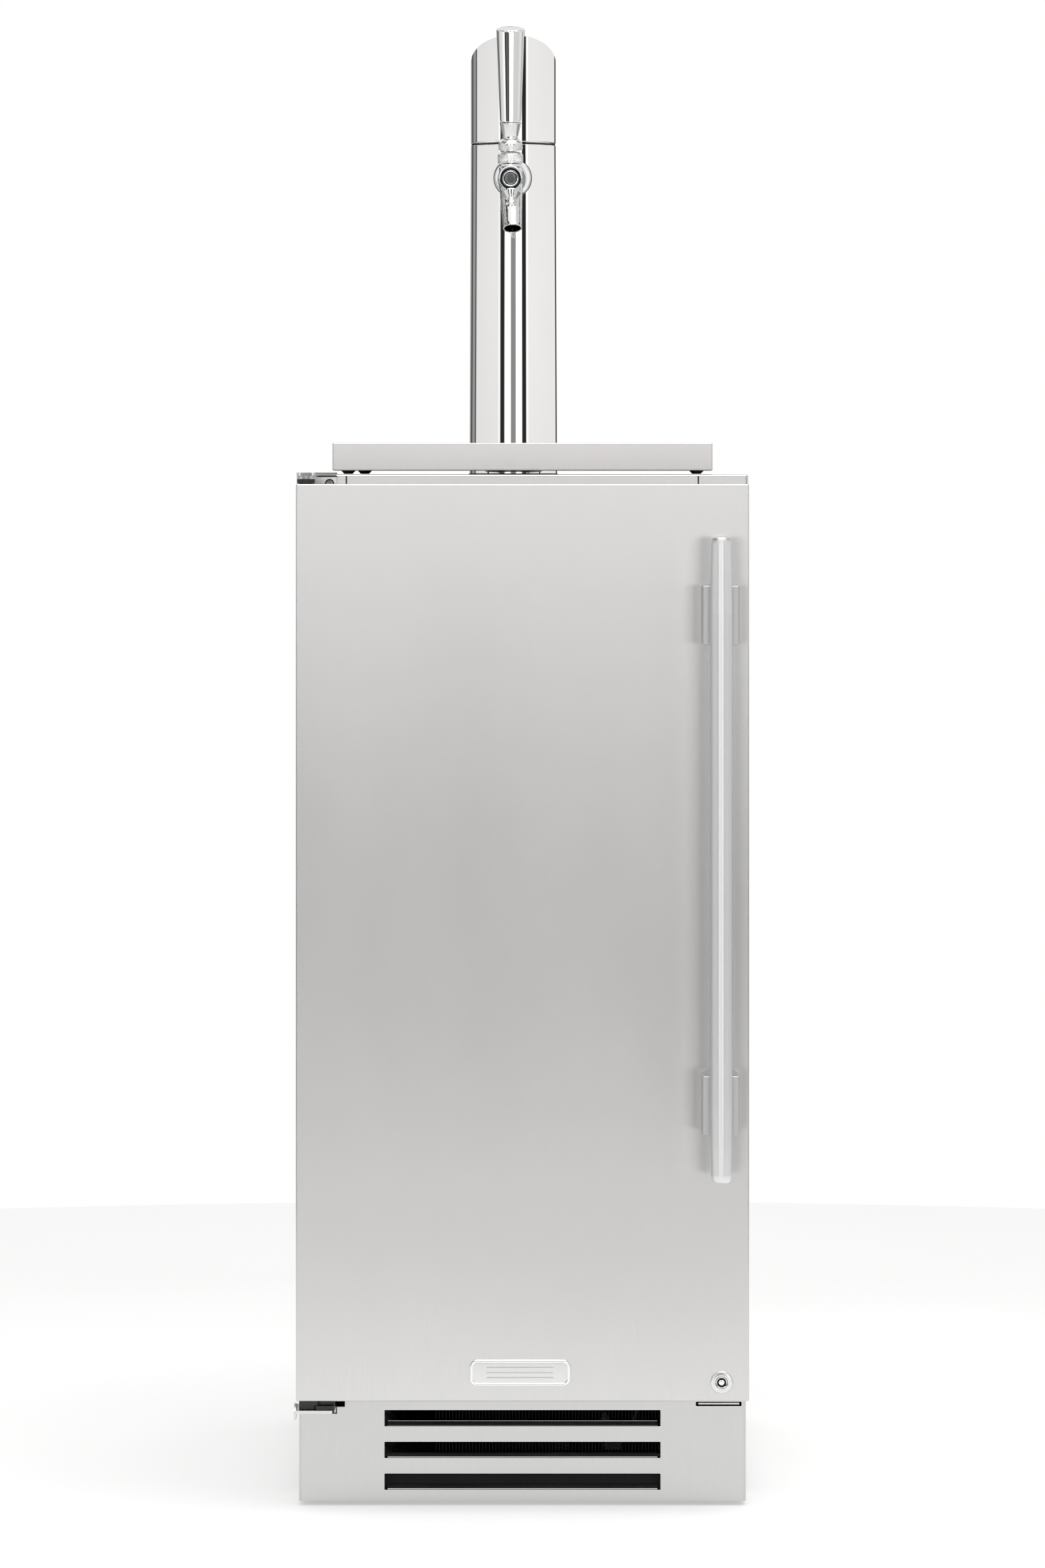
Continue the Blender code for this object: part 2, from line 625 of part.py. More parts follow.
def build_tap():
    flange = rod("tap_flange", (TAP_X, -0.046, SHANK_Z + 0.002), 0.0167, 0.014, "+Y", CHROME, 32)
    saddle_radius = TOWER_NECK + 2 * GAP
    saddle = rod("tower_saddle", (TOWER.x, TOWER.y, 1.08), saddle_radius, 0.08, sides=40)
    bore = rod("flange_bore", (TAP_X, -0.06, SHANK_Z), 0.0114, 0.04, "+Y")
    cut(flange, saddle, bore)
    pipe("tap_shank", (TAP_X, -0.060, SHANK_Z), 0.011, 0.0035, 0.054, "+Y", CHROME)
    nut_x = (TAP_X + FAUCET_X) / 2
    pipe("tap_nut", (nut_x, -0.064, SHANK_Z), 0.0140, 0.0123, 0.0155, "+Y", CHROME)

    body = rod("faucet_body", (FAUCET_X, -0.106, SHANK_Z), 0.01035, 0.0457, "+Y", CHROME)
    face = rod("faucet_face", (FAUCET_X, -0.1078, SHANK_Z - 0.001), 0.00885, 0.003, "+Y")
    neck = turned(
        "faucet_neck",
        [(0.0, 0.0), (0.0101, 0.0), (0.0101, 0.0095), (0.0092, 0.0097), (0.0092, 0.0125), (0.0, 0.0125)],
        (FAUCET_X, LEVER_PIVOT.y, SHANK_Z),
    )
    spout_base = Vector((FAUCET_X, -0.0905, SHANK_Z))
    spout_turn = Matrix.Translation(spout_base) @ Matrix.Rotation(SPOUT_ROLL, 4, "Y")
    spout_turn @= Matrix.Rotation(math.pi - SPOUT_LEAN, 4, "X")
    length = 0.049
    taper = [(0.0, 0.0), (0.0102, 0.0), (0.0102, 0.008), (0.0083, length), (0.0, length)]
    spout = turned("faucet_spout", taper, (0, 0, 0))
    spout.matrix_world = spout_turn
    throat = rod("spout_bore", (0, 0, 0), 0.0070, length)
    throat.matrix_world = spout_turn @ Matrix.Translation((0.0, 0.0, 0.003))
    chamber = rod("faucet_chamber", (FAUCET_X, -0.1025, SHANK_Z), 0.0062, 0.06, "+Y")
    well = rod("lever_well", (FAUCET_X, LEVER_PIVOT.y, 1.1240), 0.0076, 0.02)
    rear_slot = block(
        "lever_slot",
        (FAUCET_X - 0.0035, LEVER_PIVOT.y, 1.1235),
        (FAUCET_X + 0.0035, LEVER_PIVOT.y + 0.0125, 1.1305),
    )
    join(body, face, neck, spout)
    cut(body, chamber, throat, well, rear_slot)

    bonnet = [
        (0.01105, 0.0), (0.01105, 0.0068), (0.0108, 0.0071), (0.0088, 0.0102), (0.0077, 0.0102),
        (0.0077, 0.0),
    ]
    turned("faucet_bonnet", bonnet, (FAUCET_X, LEVER_PIVOT.y, 1.1343), look=CHROME, ring=True)
    build_lever()


def build_lever():
    """The lever and what it carries are drawn upright on the pivot, which then leans forward."""
    ball = [(0.0055 * math.sin(a), -0.0055 * math.cos(a)) for a in (0.6, 1.1, 1.6, 2.1, 2.6)]
    profile = [(0.0, -LEVER_ARM), (0.0016, -LEVER_ARM), (0.0016, -0.005), *ball, (0.0024, 0.0055)]
    profile += [(0.0024, 0.0183), (0.0068, 0.0183), (0.0094, 0.0328), (0.0, 0.0328)]
    lever = turned("tap_lever", profile, LEVER_PIVOT, look=CHROME)
    collar = turned(
        "lever_collar",
        [(0.0093, 0.0081), (0.0105, 0.0081), (0.0105, 0.0140), (0.0072, 0.0180), (0.0028, 0.0180),
         (0.0028, 0.0111), (0.0093, 0.0111)],
        LEVER_PIVOT, look=CHROME, ring=True,
    )
    handle = turned(
        "tap_handle",
        [(0.0, 0.0331), (0.0092, 0.0331), (0.0121, 0.1117), (0.0114, 0.1128), (0.0, 0.1148)],
        LEVER_PIVOT, look=CHROME,
    )
    lean = pivot("lever_axis", LEVER_PIVOT, lever, collar, handle)
    lean.rotation_euler.x = LEVER_LEAN

    plunger = rod("tap_plunger", (FAUCET_X, -0.1005, SHANK_Z), 0.0056, 0.0315, "+Y", BLACK, sides=16)
    notch = block(
        "plunger_notch",
        (FAUCET_X - 0.01, LEVER_PIVOT.y - 0.003, SHANK_Z - 0.002),
        (FAUCET_X + 0.01, LEVER_PIVOT.y + 0.0055, SHANK_Z + 0.01),
    )
    cut(plunger, notch)


def build_tray():
    tray = block(
        "drip_tray", (-TRAY_HALF, TRAY_FRONT, TRAY_BOTTOM), (TRAY_HALF, TRAY_BACK, TRAY_TOP), STEEL
    )
    wall = SHEET
    basin = block(
        "tray_basin",
        (wall - TRAY_HALF, TRAY_FRONT + wall, TRAY_BOTTOM + wall),
        (TRAY_HALF - wall, TRAY_BACK - wall, 1.0),
    )
    cut(tray, basin)
    foot_profile = [(0.0, 0.0), (0.0034, 0.0), (0.0053, 0.0024), (0.0053, 0.0030), (0.0, 0.0030)]
    for number, (x, y) in enumerate(TRAY_FEET):
        join(tray, turned(f"tray_foot_{number}", foot_profile, (x, y, TOWER_FOOT), sides=16))

    edge = wall + GAP
    grate = block(
        "drip_grate",
        (edge - TRAY_HALF, TRAY_FRONT + edge, TRAY_BOTTOM + edge),
        (TRAY_HALF - edge, TRAY_BACK - edge, TRAY_TOP - 0.0015),
        STEEL,
    )
    under = block(
        "grate_underside",
        (2 * edge - TRAY_HALF, TRAY_FRONT + 2 * edge, 0.80),
        (TRAY_HALF - 2 * edge, TRAY_BACK - 2 * edge, TRAY_TOP - 0.003),
    )
    cut(grate, under)
    for row in range(8):
        y = TRAY_FRONT + 0.0175 + 0.0187 * row
        cut(grate, block(f"grate_slot_{row}", (-0.135, y, 0.88), (0.135, y + 0.009, 0.90)))


def build_gas():
    """The gas bottle on the liner's step, its regulator, and the coupler on its hook."""
    bottle_x, bottle_y = 0.075, 0.165
    bottle = [
        (0.0, 0.0), (0.060, 0.0), (0.0665, 0.008), (0.0665, 0.235), (0.060, 0.262), (0.040, 0.284),
        (0.016, 0.292), (0.014, 0.322), (0.011, 0.323), (0.011, 0.350), (0.004, 0.351), (0.004, 0.357),
        (0.0, 0.357),
    ]
    cylinder = turned("co2_cylinder", bottle, (bottle_x, bottle_y, STEP_TOP + GAP), look=ALUMINIUM)
    outlet = rod("valve_outlet", (bottle_x, bottle_y, 0.634), 0.008, 0.024, "-Y", sides=16)
    join(cylinder, outlet)
    wheel = [
        (0.0, 0.0), (0.022, 0.0), (0.024, 0.003), (0.024, 0.008), (0.020, 0.011), (0.0, 0.011),
    ]
    turned("co2_handwheel", wheel, (bottle_x, bottle_y, 0.6577), look=BLACK, sides=20)

    regulator = rod("regulator", (bottle_x, bottle_y - 0.0243, 0.634), 0.012, 0.016, "-Y", BRASS, 16)
    bell = rod("regulator_bell", (bottle_x, bottle_y - 0.0380, 0.634), 0.024, 0.022, "-Y", sides=20)
    gauges = []
    for number, side in enumerate((-1, 1)):
        start = Vector((bottle_x + side * 0.024, bottle_y - 0.051, 0.635))
        stem = block(
            f"gauge_stem_{number}",
            start - Vector((0.014, 0.004, 0.004)),
            start + Vector((0.014, 0.004, 0.004)),
        )
        dial = rod(
            f"gauge_dial_{number}", (bottle_x + side * 0.047, bottle_y - 0.043, 0.636), 0.020, 0.020, "-Y",
            sides=20,
        )
        gauges += [stem, dial]
    barb = rod("regulator_barb", (bottle_x, bottle_y - 0.049, 0.596), 0.0045, 0.020, sides=16)
    join(regulator, bell, *gauges, barb)
    knob = [(0.0, 0.0), (0.014, 0.0), (0.014, 0.016), (0.011, 0.019), (0.0, 0.019)]
    turned("regulator_knob", knob, (bottle_x, bottle_y - 0.0603, 0.634), "-Y", BLACK, 16)

    build_coupler(bottle_x, bottle_y - 0.049)


def build_coupler(barb_x, barb_y):
    x, y, z = -0.085, 0.150, 0.545
    profile = [
        (0.0, 0.0), (0.020, 0.0), (0.024, 0.004), (0.024, 0.018), (0.015, 0.020), (0.015, 0.030),
        (0.018, 0.031), (0.018, 0.060), (0.010, 0.062), (0.010, 0.075), (0.0045, 0.076), (0.0045, 0.095),
        (0.0, 0.095),
    ]
    body = turned("keg_coupler", profile, (x, y, z), look=CHROME)
    gas_barb = rod("coupler_gas_barb", (x, y, z + 0.040), 0.0045, 0.038, "-Y", sides=16)
    ear_left = block("coupler_ear_left", (x - 0.024, y - 0.006, z + 0.040), (x - 0.016, y + 0.006, z + 0.052))
    ear_right = block("coupler_ear_right", (x + 0.016, y - 0.006, z + 0.040), (x + 0.024, y + 0.006, z + 0.052))
    join(body, gas_barb, ear_left, ear_right)

    hook = block("coupler_hook", (-0.1497, y - 0.020, z + 0.0215), (x + 0.012, y + 0.020, z + 0.0245), STEEL)
    wall_plate = block("hook_plate", (-0.1497, y - 0.020, z + 0.0215), (-0.1482, y + 0.020, z + 0.055))
    fork = block("hook_fork", (x - 0.0155, y - 0.0155, z), (x + 0.05, y + 0.0155, z + 0.05))
    cut(join(hook, wall_plate), fork)

    lever = block("coupler_lever", (x - 0.0275, y - 0.005, z + 0.042), (x - 0.0243, y + 0.078, z + 0.050), BLACK)
    twin = block("coupler_lever_twin", (x + 0.0243, y - 0.005, z + 0.042), (x + 0.0275, y + 0.078, z + 0.050))
    grip = block("coupler_lever_grip", (x - 0.0275, y + 0.066, z + 0.040), (x + 0.0275, y + 0.080, z + 0.052))
    join(lever, twin, grip)

    line("gas_line", [
        (barb_x, barb_y, 0.5955), (barb_x, barb_y - 0.002, 0.584), (barb_x - 0.007, barb_y - 0.014, 0.566),
        (barb_x - 0.035, barb_y - 0.026, 0.549), (barb_x - 0.075, barb_y - 0.029, 0.541),
        (barb_x - 0.115, barb_y - 0.029, 0.546), (x + 0.012, barb_y - 0.026, 0.566),
        (x + 0.001, y - 0.051, 0.582), (x, y - 0.0385, z + 0.040),
    ], 0.004, TUBING)
    line("beer_line", [
        (x, y, z + 0.0955), (x, y, z + 0.120), (x + 0.002, y - 0.005, z + 0.160),
        (x + 0.016, y - 0.034, z + 0.212), (x + 0.042, y - 0.077, z + 0.240),
        (x + 0.064, y - 0.122, z + 0.262), (TOWER.x - 0.003, 0.006, 0.838), (TOWER.x, 0.004, 0.880),
        (TOWER.x, 0.012, 0.960),
        (TOWER.x, 0.018, 1.060), (TAP_X, 0.017, 1.098), (TAP_X, 0.009, 1.1185), (TAP_X, -0.0055, SHANK_Z),
    ], 0.004, TUBING)


def main():
    clear_scene()
    build_cabinet()
    build_grille()
    build_hinges()
    build_refrigeration()
    build_controls()
    build_door()
    build_tower()
    build_tap()
    build_tray()
    build_gas()


main()
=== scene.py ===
"""Looks of an under-counter beer dispenser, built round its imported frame.

Metres, +Z up, the door faces -Y. Each builder below reads the places of the pieces it stands for
from the frame, makes finer meshes there and lets them ride on the same bodies.
"""

import json
import math

import bmesh
import bpy
from mathutils import Matrix, Vector

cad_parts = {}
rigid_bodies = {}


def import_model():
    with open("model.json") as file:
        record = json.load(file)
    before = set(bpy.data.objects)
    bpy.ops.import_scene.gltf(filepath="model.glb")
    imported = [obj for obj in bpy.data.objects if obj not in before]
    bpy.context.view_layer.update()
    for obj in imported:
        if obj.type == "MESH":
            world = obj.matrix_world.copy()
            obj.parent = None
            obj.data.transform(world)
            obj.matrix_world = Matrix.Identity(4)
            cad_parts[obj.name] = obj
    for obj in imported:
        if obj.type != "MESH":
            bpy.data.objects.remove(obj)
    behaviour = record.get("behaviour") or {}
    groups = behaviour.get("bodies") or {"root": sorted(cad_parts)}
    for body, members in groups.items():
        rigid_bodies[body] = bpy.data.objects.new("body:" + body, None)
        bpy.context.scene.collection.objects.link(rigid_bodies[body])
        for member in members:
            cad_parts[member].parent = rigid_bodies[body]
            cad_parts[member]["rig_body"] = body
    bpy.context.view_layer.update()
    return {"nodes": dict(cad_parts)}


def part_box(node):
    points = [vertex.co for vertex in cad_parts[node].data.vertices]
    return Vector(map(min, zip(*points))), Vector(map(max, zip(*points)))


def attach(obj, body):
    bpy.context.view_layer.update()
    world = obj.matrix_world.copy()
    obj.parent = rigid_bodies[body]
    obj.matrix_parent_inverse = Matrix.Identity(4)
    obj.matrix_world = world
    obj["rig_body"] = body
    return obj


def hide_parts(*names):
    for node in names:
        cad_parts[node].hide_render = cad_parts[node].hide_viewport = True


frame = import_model()

# The camera of the catalogue view: level, far back, shifted down onto the cabinet
CAMERA_BACK = 6.0
CAMERA_HEIGHT = 0.867
FIELD_HEIGHT = 1.3068
SENSOR = 36.0
SHIFT = -0.1977

FLOOR_RADIUS = 2.3
SHEET = 0.0015
GAP = 0.0003
HINGE_PIN = Vector((-0.181, -0.2635, 0.0))
# How far back the open toe under the cabinet reaches
TOE_BACK = -0.14
# How far the tower's cap, the lever, the spout and its vent lean
TOWER_CAP_SLOPE = math.radians(30.0)
LEVER_LEAN = math.radians(10.0)
SPOUT_LEAN = math.radians(25.0)
SPOUT_ROLL = math.radians(-2.3)
VENT_LEAN = 0.44
THREAD_DEPTH = 0.0006
REGULATOR_HEIGHT = 0.634

TURN = {
    "+Z": Matrix.Identity(4),
    "+Y": Matrix.Rotation(-math.pi / 2, 4, "X"),
    "-Y": Matrix.Rotation(math.pi / 2, 4, "X"),
    "+X": Matrix.Rotation(math.pi / 2, 4, "Y"),
}


# ------------------------------------------------------------------ mesh helpers

def at(place, axis="+Z"):
    """The matrix that puts a shape drawn up +Z at a place, along an axis."""
    return Matrix.Translation(place) @ TURN[axis]


def raised(height):
    """The place of a plate drawn level and put at a height."""
    return Matrix.Translation((0.0, 0.0, height))


def drawn_xz(y):
    """The place of a plate drawn as (x, z), which thickens towards +Y from y."""
    return Matrix(((1, 0, 0, 0), (0, 0, 1, y), (0, 1, 0, 0), (0, 0, 0, 1)))


def drawn_yz(x):
    """The place of a section drawn as (y, z), which runs towards +X from x."""
    return Matrix(((0, 0, 1, x), (1, 0, 0, 0), (0, 1, 0, 0), (0, 0, 0, 1)))


def centre_of(node_name):
    low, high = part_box(node_name)
    return (low + high) / 2


def node_body(node_name):
    return frame["nodes"][node_name]["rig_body"]


def merge(target, part):
    mesh = bpy.data.meshes.new("part")
    part.to_mesh(mesh)
    part.free()
    target.from_mesh(mesh)
    bpy.data.meshes.remove(mesh)
    return target


def add_block(bm, low, high, radius=0.0, segments=3, edges=None):
    """A box between two corners, its edges rounded. edges picks some by the edge's direction."""
    low, high = Vector(low), Vector(high)
    part = bmesh.new()
    matrix = Matrix.Translation((low + high) / 2) @ Matrix.Diagonal((*(high - low), 1.0))
    bmesh.ops.create_cube(part, size=1.0, matrix=matrix)
    if radius:
        chosen = list(part.edges)
        if edges:
            axis = "XYZ".index(edges)
            chosen = [
                e for e in part.edges
                if abs((e.verts[0].co - e.verts[1].co)[axis]) > 0.5 * (high - low)[axis]
            ]
        bmesh.ops.bevel(
            part, geom=chosen, offset=radius, segments=segments, profile=0.5, affect="EDGES"
        )
    return merge(bm, part)


def rounded(points, fillet, steps=3, closed=False):
    """A polyline whose corners are eased by short curves."""
    points = [Vector(p) for p in points]
    if closed:
        triples = zip(points[-1:] + points[:-1], points, points[1:] + points[:1])
        eased = []
    else:
        triples = zip(points, points[1:], points[2:])
        eased = [points[0]]
    for before, corner, after in triples:
        back, ahead = before - corner, after - corner
        reach = min(fillet, 0.45 * back.length, 0.45 * ahead.length)
        start = corner + back.normalized() * reach
        end = corner + ahead.normalized() * reach
        for i in range(steps + 1):
            t = i / steps
            eased.append(start * (1 - t) ** 2 + corner * 2 * t * (1 - t) + end * t ** 2)
    return eased if closed else eased + [points[-1]]


def circle(centre, radius, sides=24):
    angles = [2 * math.pi * i / sides for i in range(sides)]
    return [(centre[0] + radius * math.cos(a), centre[1] + radius * math.sin(a)) for a in angles]


def skin(part, rings, closed=False, cap_first=False, cap_last=False):
    """Faces between rings of corners. A closed skin also joins the last ring to the first."""
    pairs = list(zip(rings, rings[1:]))
    if closed:
        pairs.append((rings[-1], rings[0]))
    for lower, upper in pairs:
        for i in range(len(lower)):
            j = (i + 1) % len(lower)
            corners = list(dict.fromkeys([lower[i], lower[j], upper[j], upper[i]]))
            if len(corners) > 2:
                part.faces.new(corners)
    if cap_first:
        part.faces.new(rings[0][::-1])
    if cap_last:
        part.faces.new(rings[-1])


def add_turned(bm, profile, place, sides=64, ring=False, fillet=0.0, steps=3):
    """A solid of revolution about the place's Z. A ring's profile is a closed loop off the axis."""
    if fillet:
        profile = rounded(profile, fillet, steps, closed=ring)
    part = bmesh.new()
    rows = []
    for radius, height in profile:
        if radius < 1e-7:
            rows.append([part.verts.new((0.0, 0.0, height))] * sides)
            continue
        rows.append([part.verts.new((x, y, height)) for x, y in circle((0.0, 0.0), radius, sides)])
    skin(part, rows, ring)
    part.transform(place)
    return merge(bm, part)


def add_rod(bm, place, radius, length, sides=48, fillet=0.0004):
    profile = [(0.0, 0.0), (radius, 0.0), (radius, length), (0.0, length)]
    return add_turned(bm, profile, place, sides, fillet=fillet)


def add_pipe(bm, place, outer, inner, length, sides=64, fillet=0.0003):
    profile = [(outer, 0.0), (outer, length), (inner, length), (inner, 0.0)]
    return add_turned(bm, profile, place, sides, ring=True, fillet=fillet)


def add_wound(bm, place, low, high, sides, rows, reach):
    """A round bar between two heights, its radius told row by row and side by side."""
    part = bmesh.new()
    rings = []
    for row in range(rows + 1):
        height = low + (high - low) * row / rows
        spokes = [(reach(row, side), 2 * math.pi * side / sides) for side in range(sides)]
        rings.append([part.verts.new((r * math.cos(a), r * math.sin(a), height)) for r, a in spokes])
    skin(part, rings, cap_first=True, cap_last=True)
    part.transform(place)
    return merge(bm, part)


def add_knurl(bm, place, radius, low, high, pitch=0.0011, depth=0.00028):
    """A closed band with a diamond knurl: two sets of grooves that wind opposite ways."""
    count = round(2 * math.pi * radius / pitch)
    sides, rows = 5 * count, max(6, round(5 * (high - low) / pitch))

    def reach(row, side):
        turn, climb = math.pi * count * side / sides, math.pi * (high - low) * row / rows / pitch
        ridge = min(abs(math.sin(turn + climb)), abs(math.sin(turn - climb)))
        fade = min(1.0, 5 * row / rows, 5 * (rows - row) / rows)
        return radius - depth * (1 - ridge * fade)

    return add_wound(bm, place, low, high, sides, rows, reach)


def add_thread(bm, place, radius, length, pitch=0.00125, sides=32):
    """A stud with a real helical thread."""
    rows = round(length / pitch * 4)

    def reach(row, side):
        phase = (length * row / rows / pitch + side / sides) % 1.0
        return radius - THREAD_DEPTH * abs(2 * phase - 1)

    return add_wound(bm, place, 0.0, length, sides, rows, reach)


def oval(centre, width, height, radius, steps=6):
    """A rounded rectangle as points, anticlockwise."""
    radius = min(radius, width / 2, height / 2)
    points = []
    for quarter in range(4):
        start = quarter * math.pi / 2
        side_x = 1 if quarter in (0, 3) else -1
        side_y = 1 if quarter in (0, 1) else -1
        cx = centre[0] + side_x * (width / 2 - radius)
        cy = centre[1] + side_y * (height / 2 - radius)
        for i in range(steps + 1):
            a = start + math.pi / 2 * i / steps
            points.append((cx + radius * math.cos(a), cy + radius * math.sin(a)))
    return list(dict.fromkeys((round(x, 7), round(y, 7)) for x, y in points))


def add_plate(bm, outline, holes, place, thickness):
    """A flat plate with holes, drawn in the place's XY and as thick as told along its +Z."""
    part = bmesh.new()
    edges = []
    for loop in (outline, *holes):
        corners = [part.verts.new((corner[0], corner[1], 0.0)) for corner in loop]
        edges += [part.edges.new(pair) for pair in zip(corners, corners[1:] + corners[:1])]
    bmesh.ops.triangle_fill(part, use_beauty=True, use_dissolve=False, edges=edges)
    grown = bmesh.ops.extrude_face_region(part, geom=part.faces[:])["geom"]
    lifted = [g for g in grown if isinstance(g, bmesh.types.BMVert)]
    bmesh.ops.translate(part, verts=lifted, vec=(0.0, 0.0, thickness))
    bmesh.ops.recalc_face_normals(part, faces=part.faces)
    part.transform(place)
    return merge(bm, part)


def add_frame(bm, low, high, profile, corner=0.0, steps=5, cap_first=False, cap_last=False):
    """Sweeps a profile of (inset, y) points round a rectangle in XZ. Without caps it closes up."""
    centre = ((low[0] + high[0]) / 2, (low[1] + high[1]) / 2)
    size = (high[0] - low[0], high[1] - low[1])
    part = bmesh.new()
    loops = []
    for inset, y in profile:
        turn = max(corner - inset, 0.0004)
        loop = oval(centre, size[0] - 2 * inset, size[1] - 2 * inset, turn, steps)
        loops.append([part.verts.new((x, y, z)) for x, z in loop])
    skin(part, loops, not (cap_first or cap_last), cap_first, cap_last)
    return merge(bm, part)


def smooth_path(knots, step):
    """A curve through the knots, in pieces of about the step's length."""
    knots = [Vector(p) for p in knots]
    ends = [2 * knots[0] - knots[1], *knots, 2 * knots[-1] - knots[-2]]
    path = [knots[0]]
    for p0, p1, p2, p3 in zip(ends, ends[1:], ends[2:], ends[3:]):
        pieces = max(2, round((p2 - p1).length / step))
        for i in range(1, pieces + 1):
            t = i / pieces
            path.append(0.5 * (
                2 * p1 + (p2 - p0) * t + (2 * p0 - 5 * p1 + 4 * p2 - p3) * t ** 2
                + (3 * p1 - p0 - 3 * p2 + p3) * t ** 3
            ))
    return path


def add_tube(bm, path, radius, sides=16, closed=False):
    """A tube along a path, its rings turned as little as the path allows."""
    part = bmesh.new()
    count = len(path)
    side = None
    rings = []
    for i, point in enumerate(path):
        before = path[i - 1] if closed or i else path[0]
        after = path[(i + 1) % count] if closed or i + 1 < count else path[-1]
        along = (after - before).normalized()
        if side is None:
            side = along.orthogonal().normalized()
        side = (side - along * side.dot(along)).normalized()
        other = along.cross(side)
        rings.append([
            part.verts.new(point + radius * (math.cos(a) * side + math.sin(a) * other))
            for a in (2 * math.pi * k / sides for k in range(sides))
        ])
    skin(part, rings, closed, not closed, not closed)
    return merge(bm, part)


def wire_ring(bm, place, radius, wire, sides=64):
    path = [place @ Vector((x, y, 0.0)) for x, y in circle((0.0, 0.0), radius, sides)]
    return add_tube(bm, path, wire, 10, closed=True)


def object_from(name, bm):
    bmesh.ops.recalc_face_normals(bm, faces=bm.faces)
    mesh = bpy.data.meshes.new(name)
    bm.to_mesh(mesh)
    bm.free()
    obj = bpy.data.objects.new(name, mesh)
    bpy.context.scene.collection.objects.link(obj)
    return obj


def settle(obj):
    """Applies the modifiers, so that the mesh is final."""
    bpy.context.view_layer.update()
    graph = bpy.context.evaluated_depsgraph_get()
    final = bpy.data.meshes.new_from_object(obj.evaluated_get(graph))
    obj.modifiers.clear()
    obj.data = final
    return obj


def boolean(obj, operation, *tools):
    """Cuts or joins with shapes given as bmeshes."""
    helpers = []
    for number, tool in enumerate(tools):
        helper = object_from(f"tool_{number}", tool)
        modifier = obj.modifiers.new(helper.name, "BOOLEAN")
        modifier.operation = operation
        modifier.solver = "EXACT"
        modifier.object = helper
        helpers.append(helper)
    settle(obj)
    for helper in helpers:
        bpy.data.objects.remove(helper, do_unlink=True)
    return obj


def carve(obj, *tools):
    return boolean(obj, "DIFFERENCE", *tools)


def finish_piece(
    obj, look, body, slot, stands_for=(), sharp=34.0, bevel=0.0, weighted=True, top=None
):
    """Shades a mesh, gives it its look, another one on top where told, and lets it ride."""
    mesh = obj.data
    mesh.materials.clear()
    mesh.materials.append(LOOK[look])
    if top:
        mesh.materials.append(LOOK[top])
        for face in mesh.polygons:
            face.material_index = int(abs(face.normal.z) > 0.7)
    mesh.shade_smooth()
    if bevel:
        modifier = obj.modifiers.new("edges", "BEVEL")
        modifier.width = bevel
        modifier.segments = 2
        modifier.limit_method = "ANGLE"
        modifier.angle_limit = math.radians(40.0)
        modifier.use_clamp_overlap = True
        settle(obj)
    obj.data.set_sharp_from_angle(angle=math.radians(sharp))
    if weighted:
        modifier = obj.modifiers.new("flat faces stay flat", "WEIGHTED_NORMAL")
        modifier.keep_sharp = True
        settle(obj)
    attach(obj, body)
    if stands_for:
        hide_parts(*stands_for)
    return obj


def piece(name, bm, look, body, slot, stands_for=(), **how):
    return finish_piece(object_from(name, bm), look, body, slot, stands_for, **how)


def add_screw(bm, place, radius, socket=True):
    """A low pan head, mostly with a hexagon socket sunk in it."""
    height = 0.5 * radius
    if not socket:
        profile = [
            (0.0, -0.001), (radius, -0.001), (radius, 0.3 * height), (0.6 * radius, height),
            (0.0, height),
        ]
        return add_turned(bm, profile, place, 32, fillet=0.0003)
    deep = 0.15 * height
    profile = [
        (0.0, -0.001), (radius, -0.001), (radius, 0.4 * height), (0.75 * radius, height),
        (0.45 * radius, height), (0.45 * radius, deep), (0.0, deep),
    ]
    return add_turned(bm, profile, place, 36, fillet=0.00025, steps=2)


def screw_grid(name, columns, y, rows, axis, radius, look):
    screws = bmesh.new()
    for x in columns:
        for z in rows:
            add_screw(screws, at((x, y, z), axis), radius)
    piece(name, screws, look, "cabinet", "zinc_steel")


def on_its_own(add):
    """The same helper, but one that starts a new mesh."""
    def start(*how, **more):
        return add(bmesh.new(), *how, **more)
    return start


new_block = on_its_own(add_block)
new_turned = on_its_own(add_turned)
new_rod = on_its_own(add_rod)
new_pipe = on_its_own(add_pipe)
new_plate = on_its_own(add_plate)
new_frame = on_its_own(add_frame)
new_tube = on_its_own(add_tube)
new_knurl = on_its_own(add_knurl)
new_thread = on_its_own(add_thread)


# ------------------------------------------------------------------ materials

def node(tree, kind, inputs=None, **settings):
    made = tree.nodes.new(kind)
    for key, value in settings.items():
        setattr(made, key, value)
    for key, value in (inputs or {}).items():
        if isinstance(value, bpy.types.NodeSocket):
            tree.links.new(value, made.inputs[key])
        else:
            made.inputs[key].default_value = value
    return made


def start_material(name, **constants):
    material = bpy.data.materials.new(name)
    material.use_nodes = True
    tree = material.node_tree
    shader = tree.nodes["Principled BSDF"]
    for key, value in constants.items():
        shader.inputs[key.replace("_", " ")].default_value = value
    return material, tree, shader


def noise(tree, stretch, detail=2.0, roughness=0.5):
    """A noise over the piece's own coordinates, with so many features to the metre each way."""
    place = node(tree, "ShaderNodeTexCoord").outputs["Object"]
    mapped = node(tree, "ShaderNodeMapping", {"Vector": place, "Scale": stretch}).outputs["Vector"]
    inputs = {"Vector": mapped, "Scale": 1.0, "Detail": detail, "Roughness": roughness}
    return node(tree, "ShaderNodeTexNoise", inputs).outputs["Fac"]


def ramp(tree, fac, *stops, interpolation="LINEAR"):
    made = node(tree, "ShaderNodeValToRGB", {"Fac": fac})
    made.color_ramp.interpolation = interpolation
    elements = made.color_ramp.elements
    while len(elements) < len(stops):
        elements.new(0.5)
    for element, (position, colour) in zip(elements, stops):
        element.position = position
        element.color = (*colour, 1.0)
    return made.outputs["Color"]


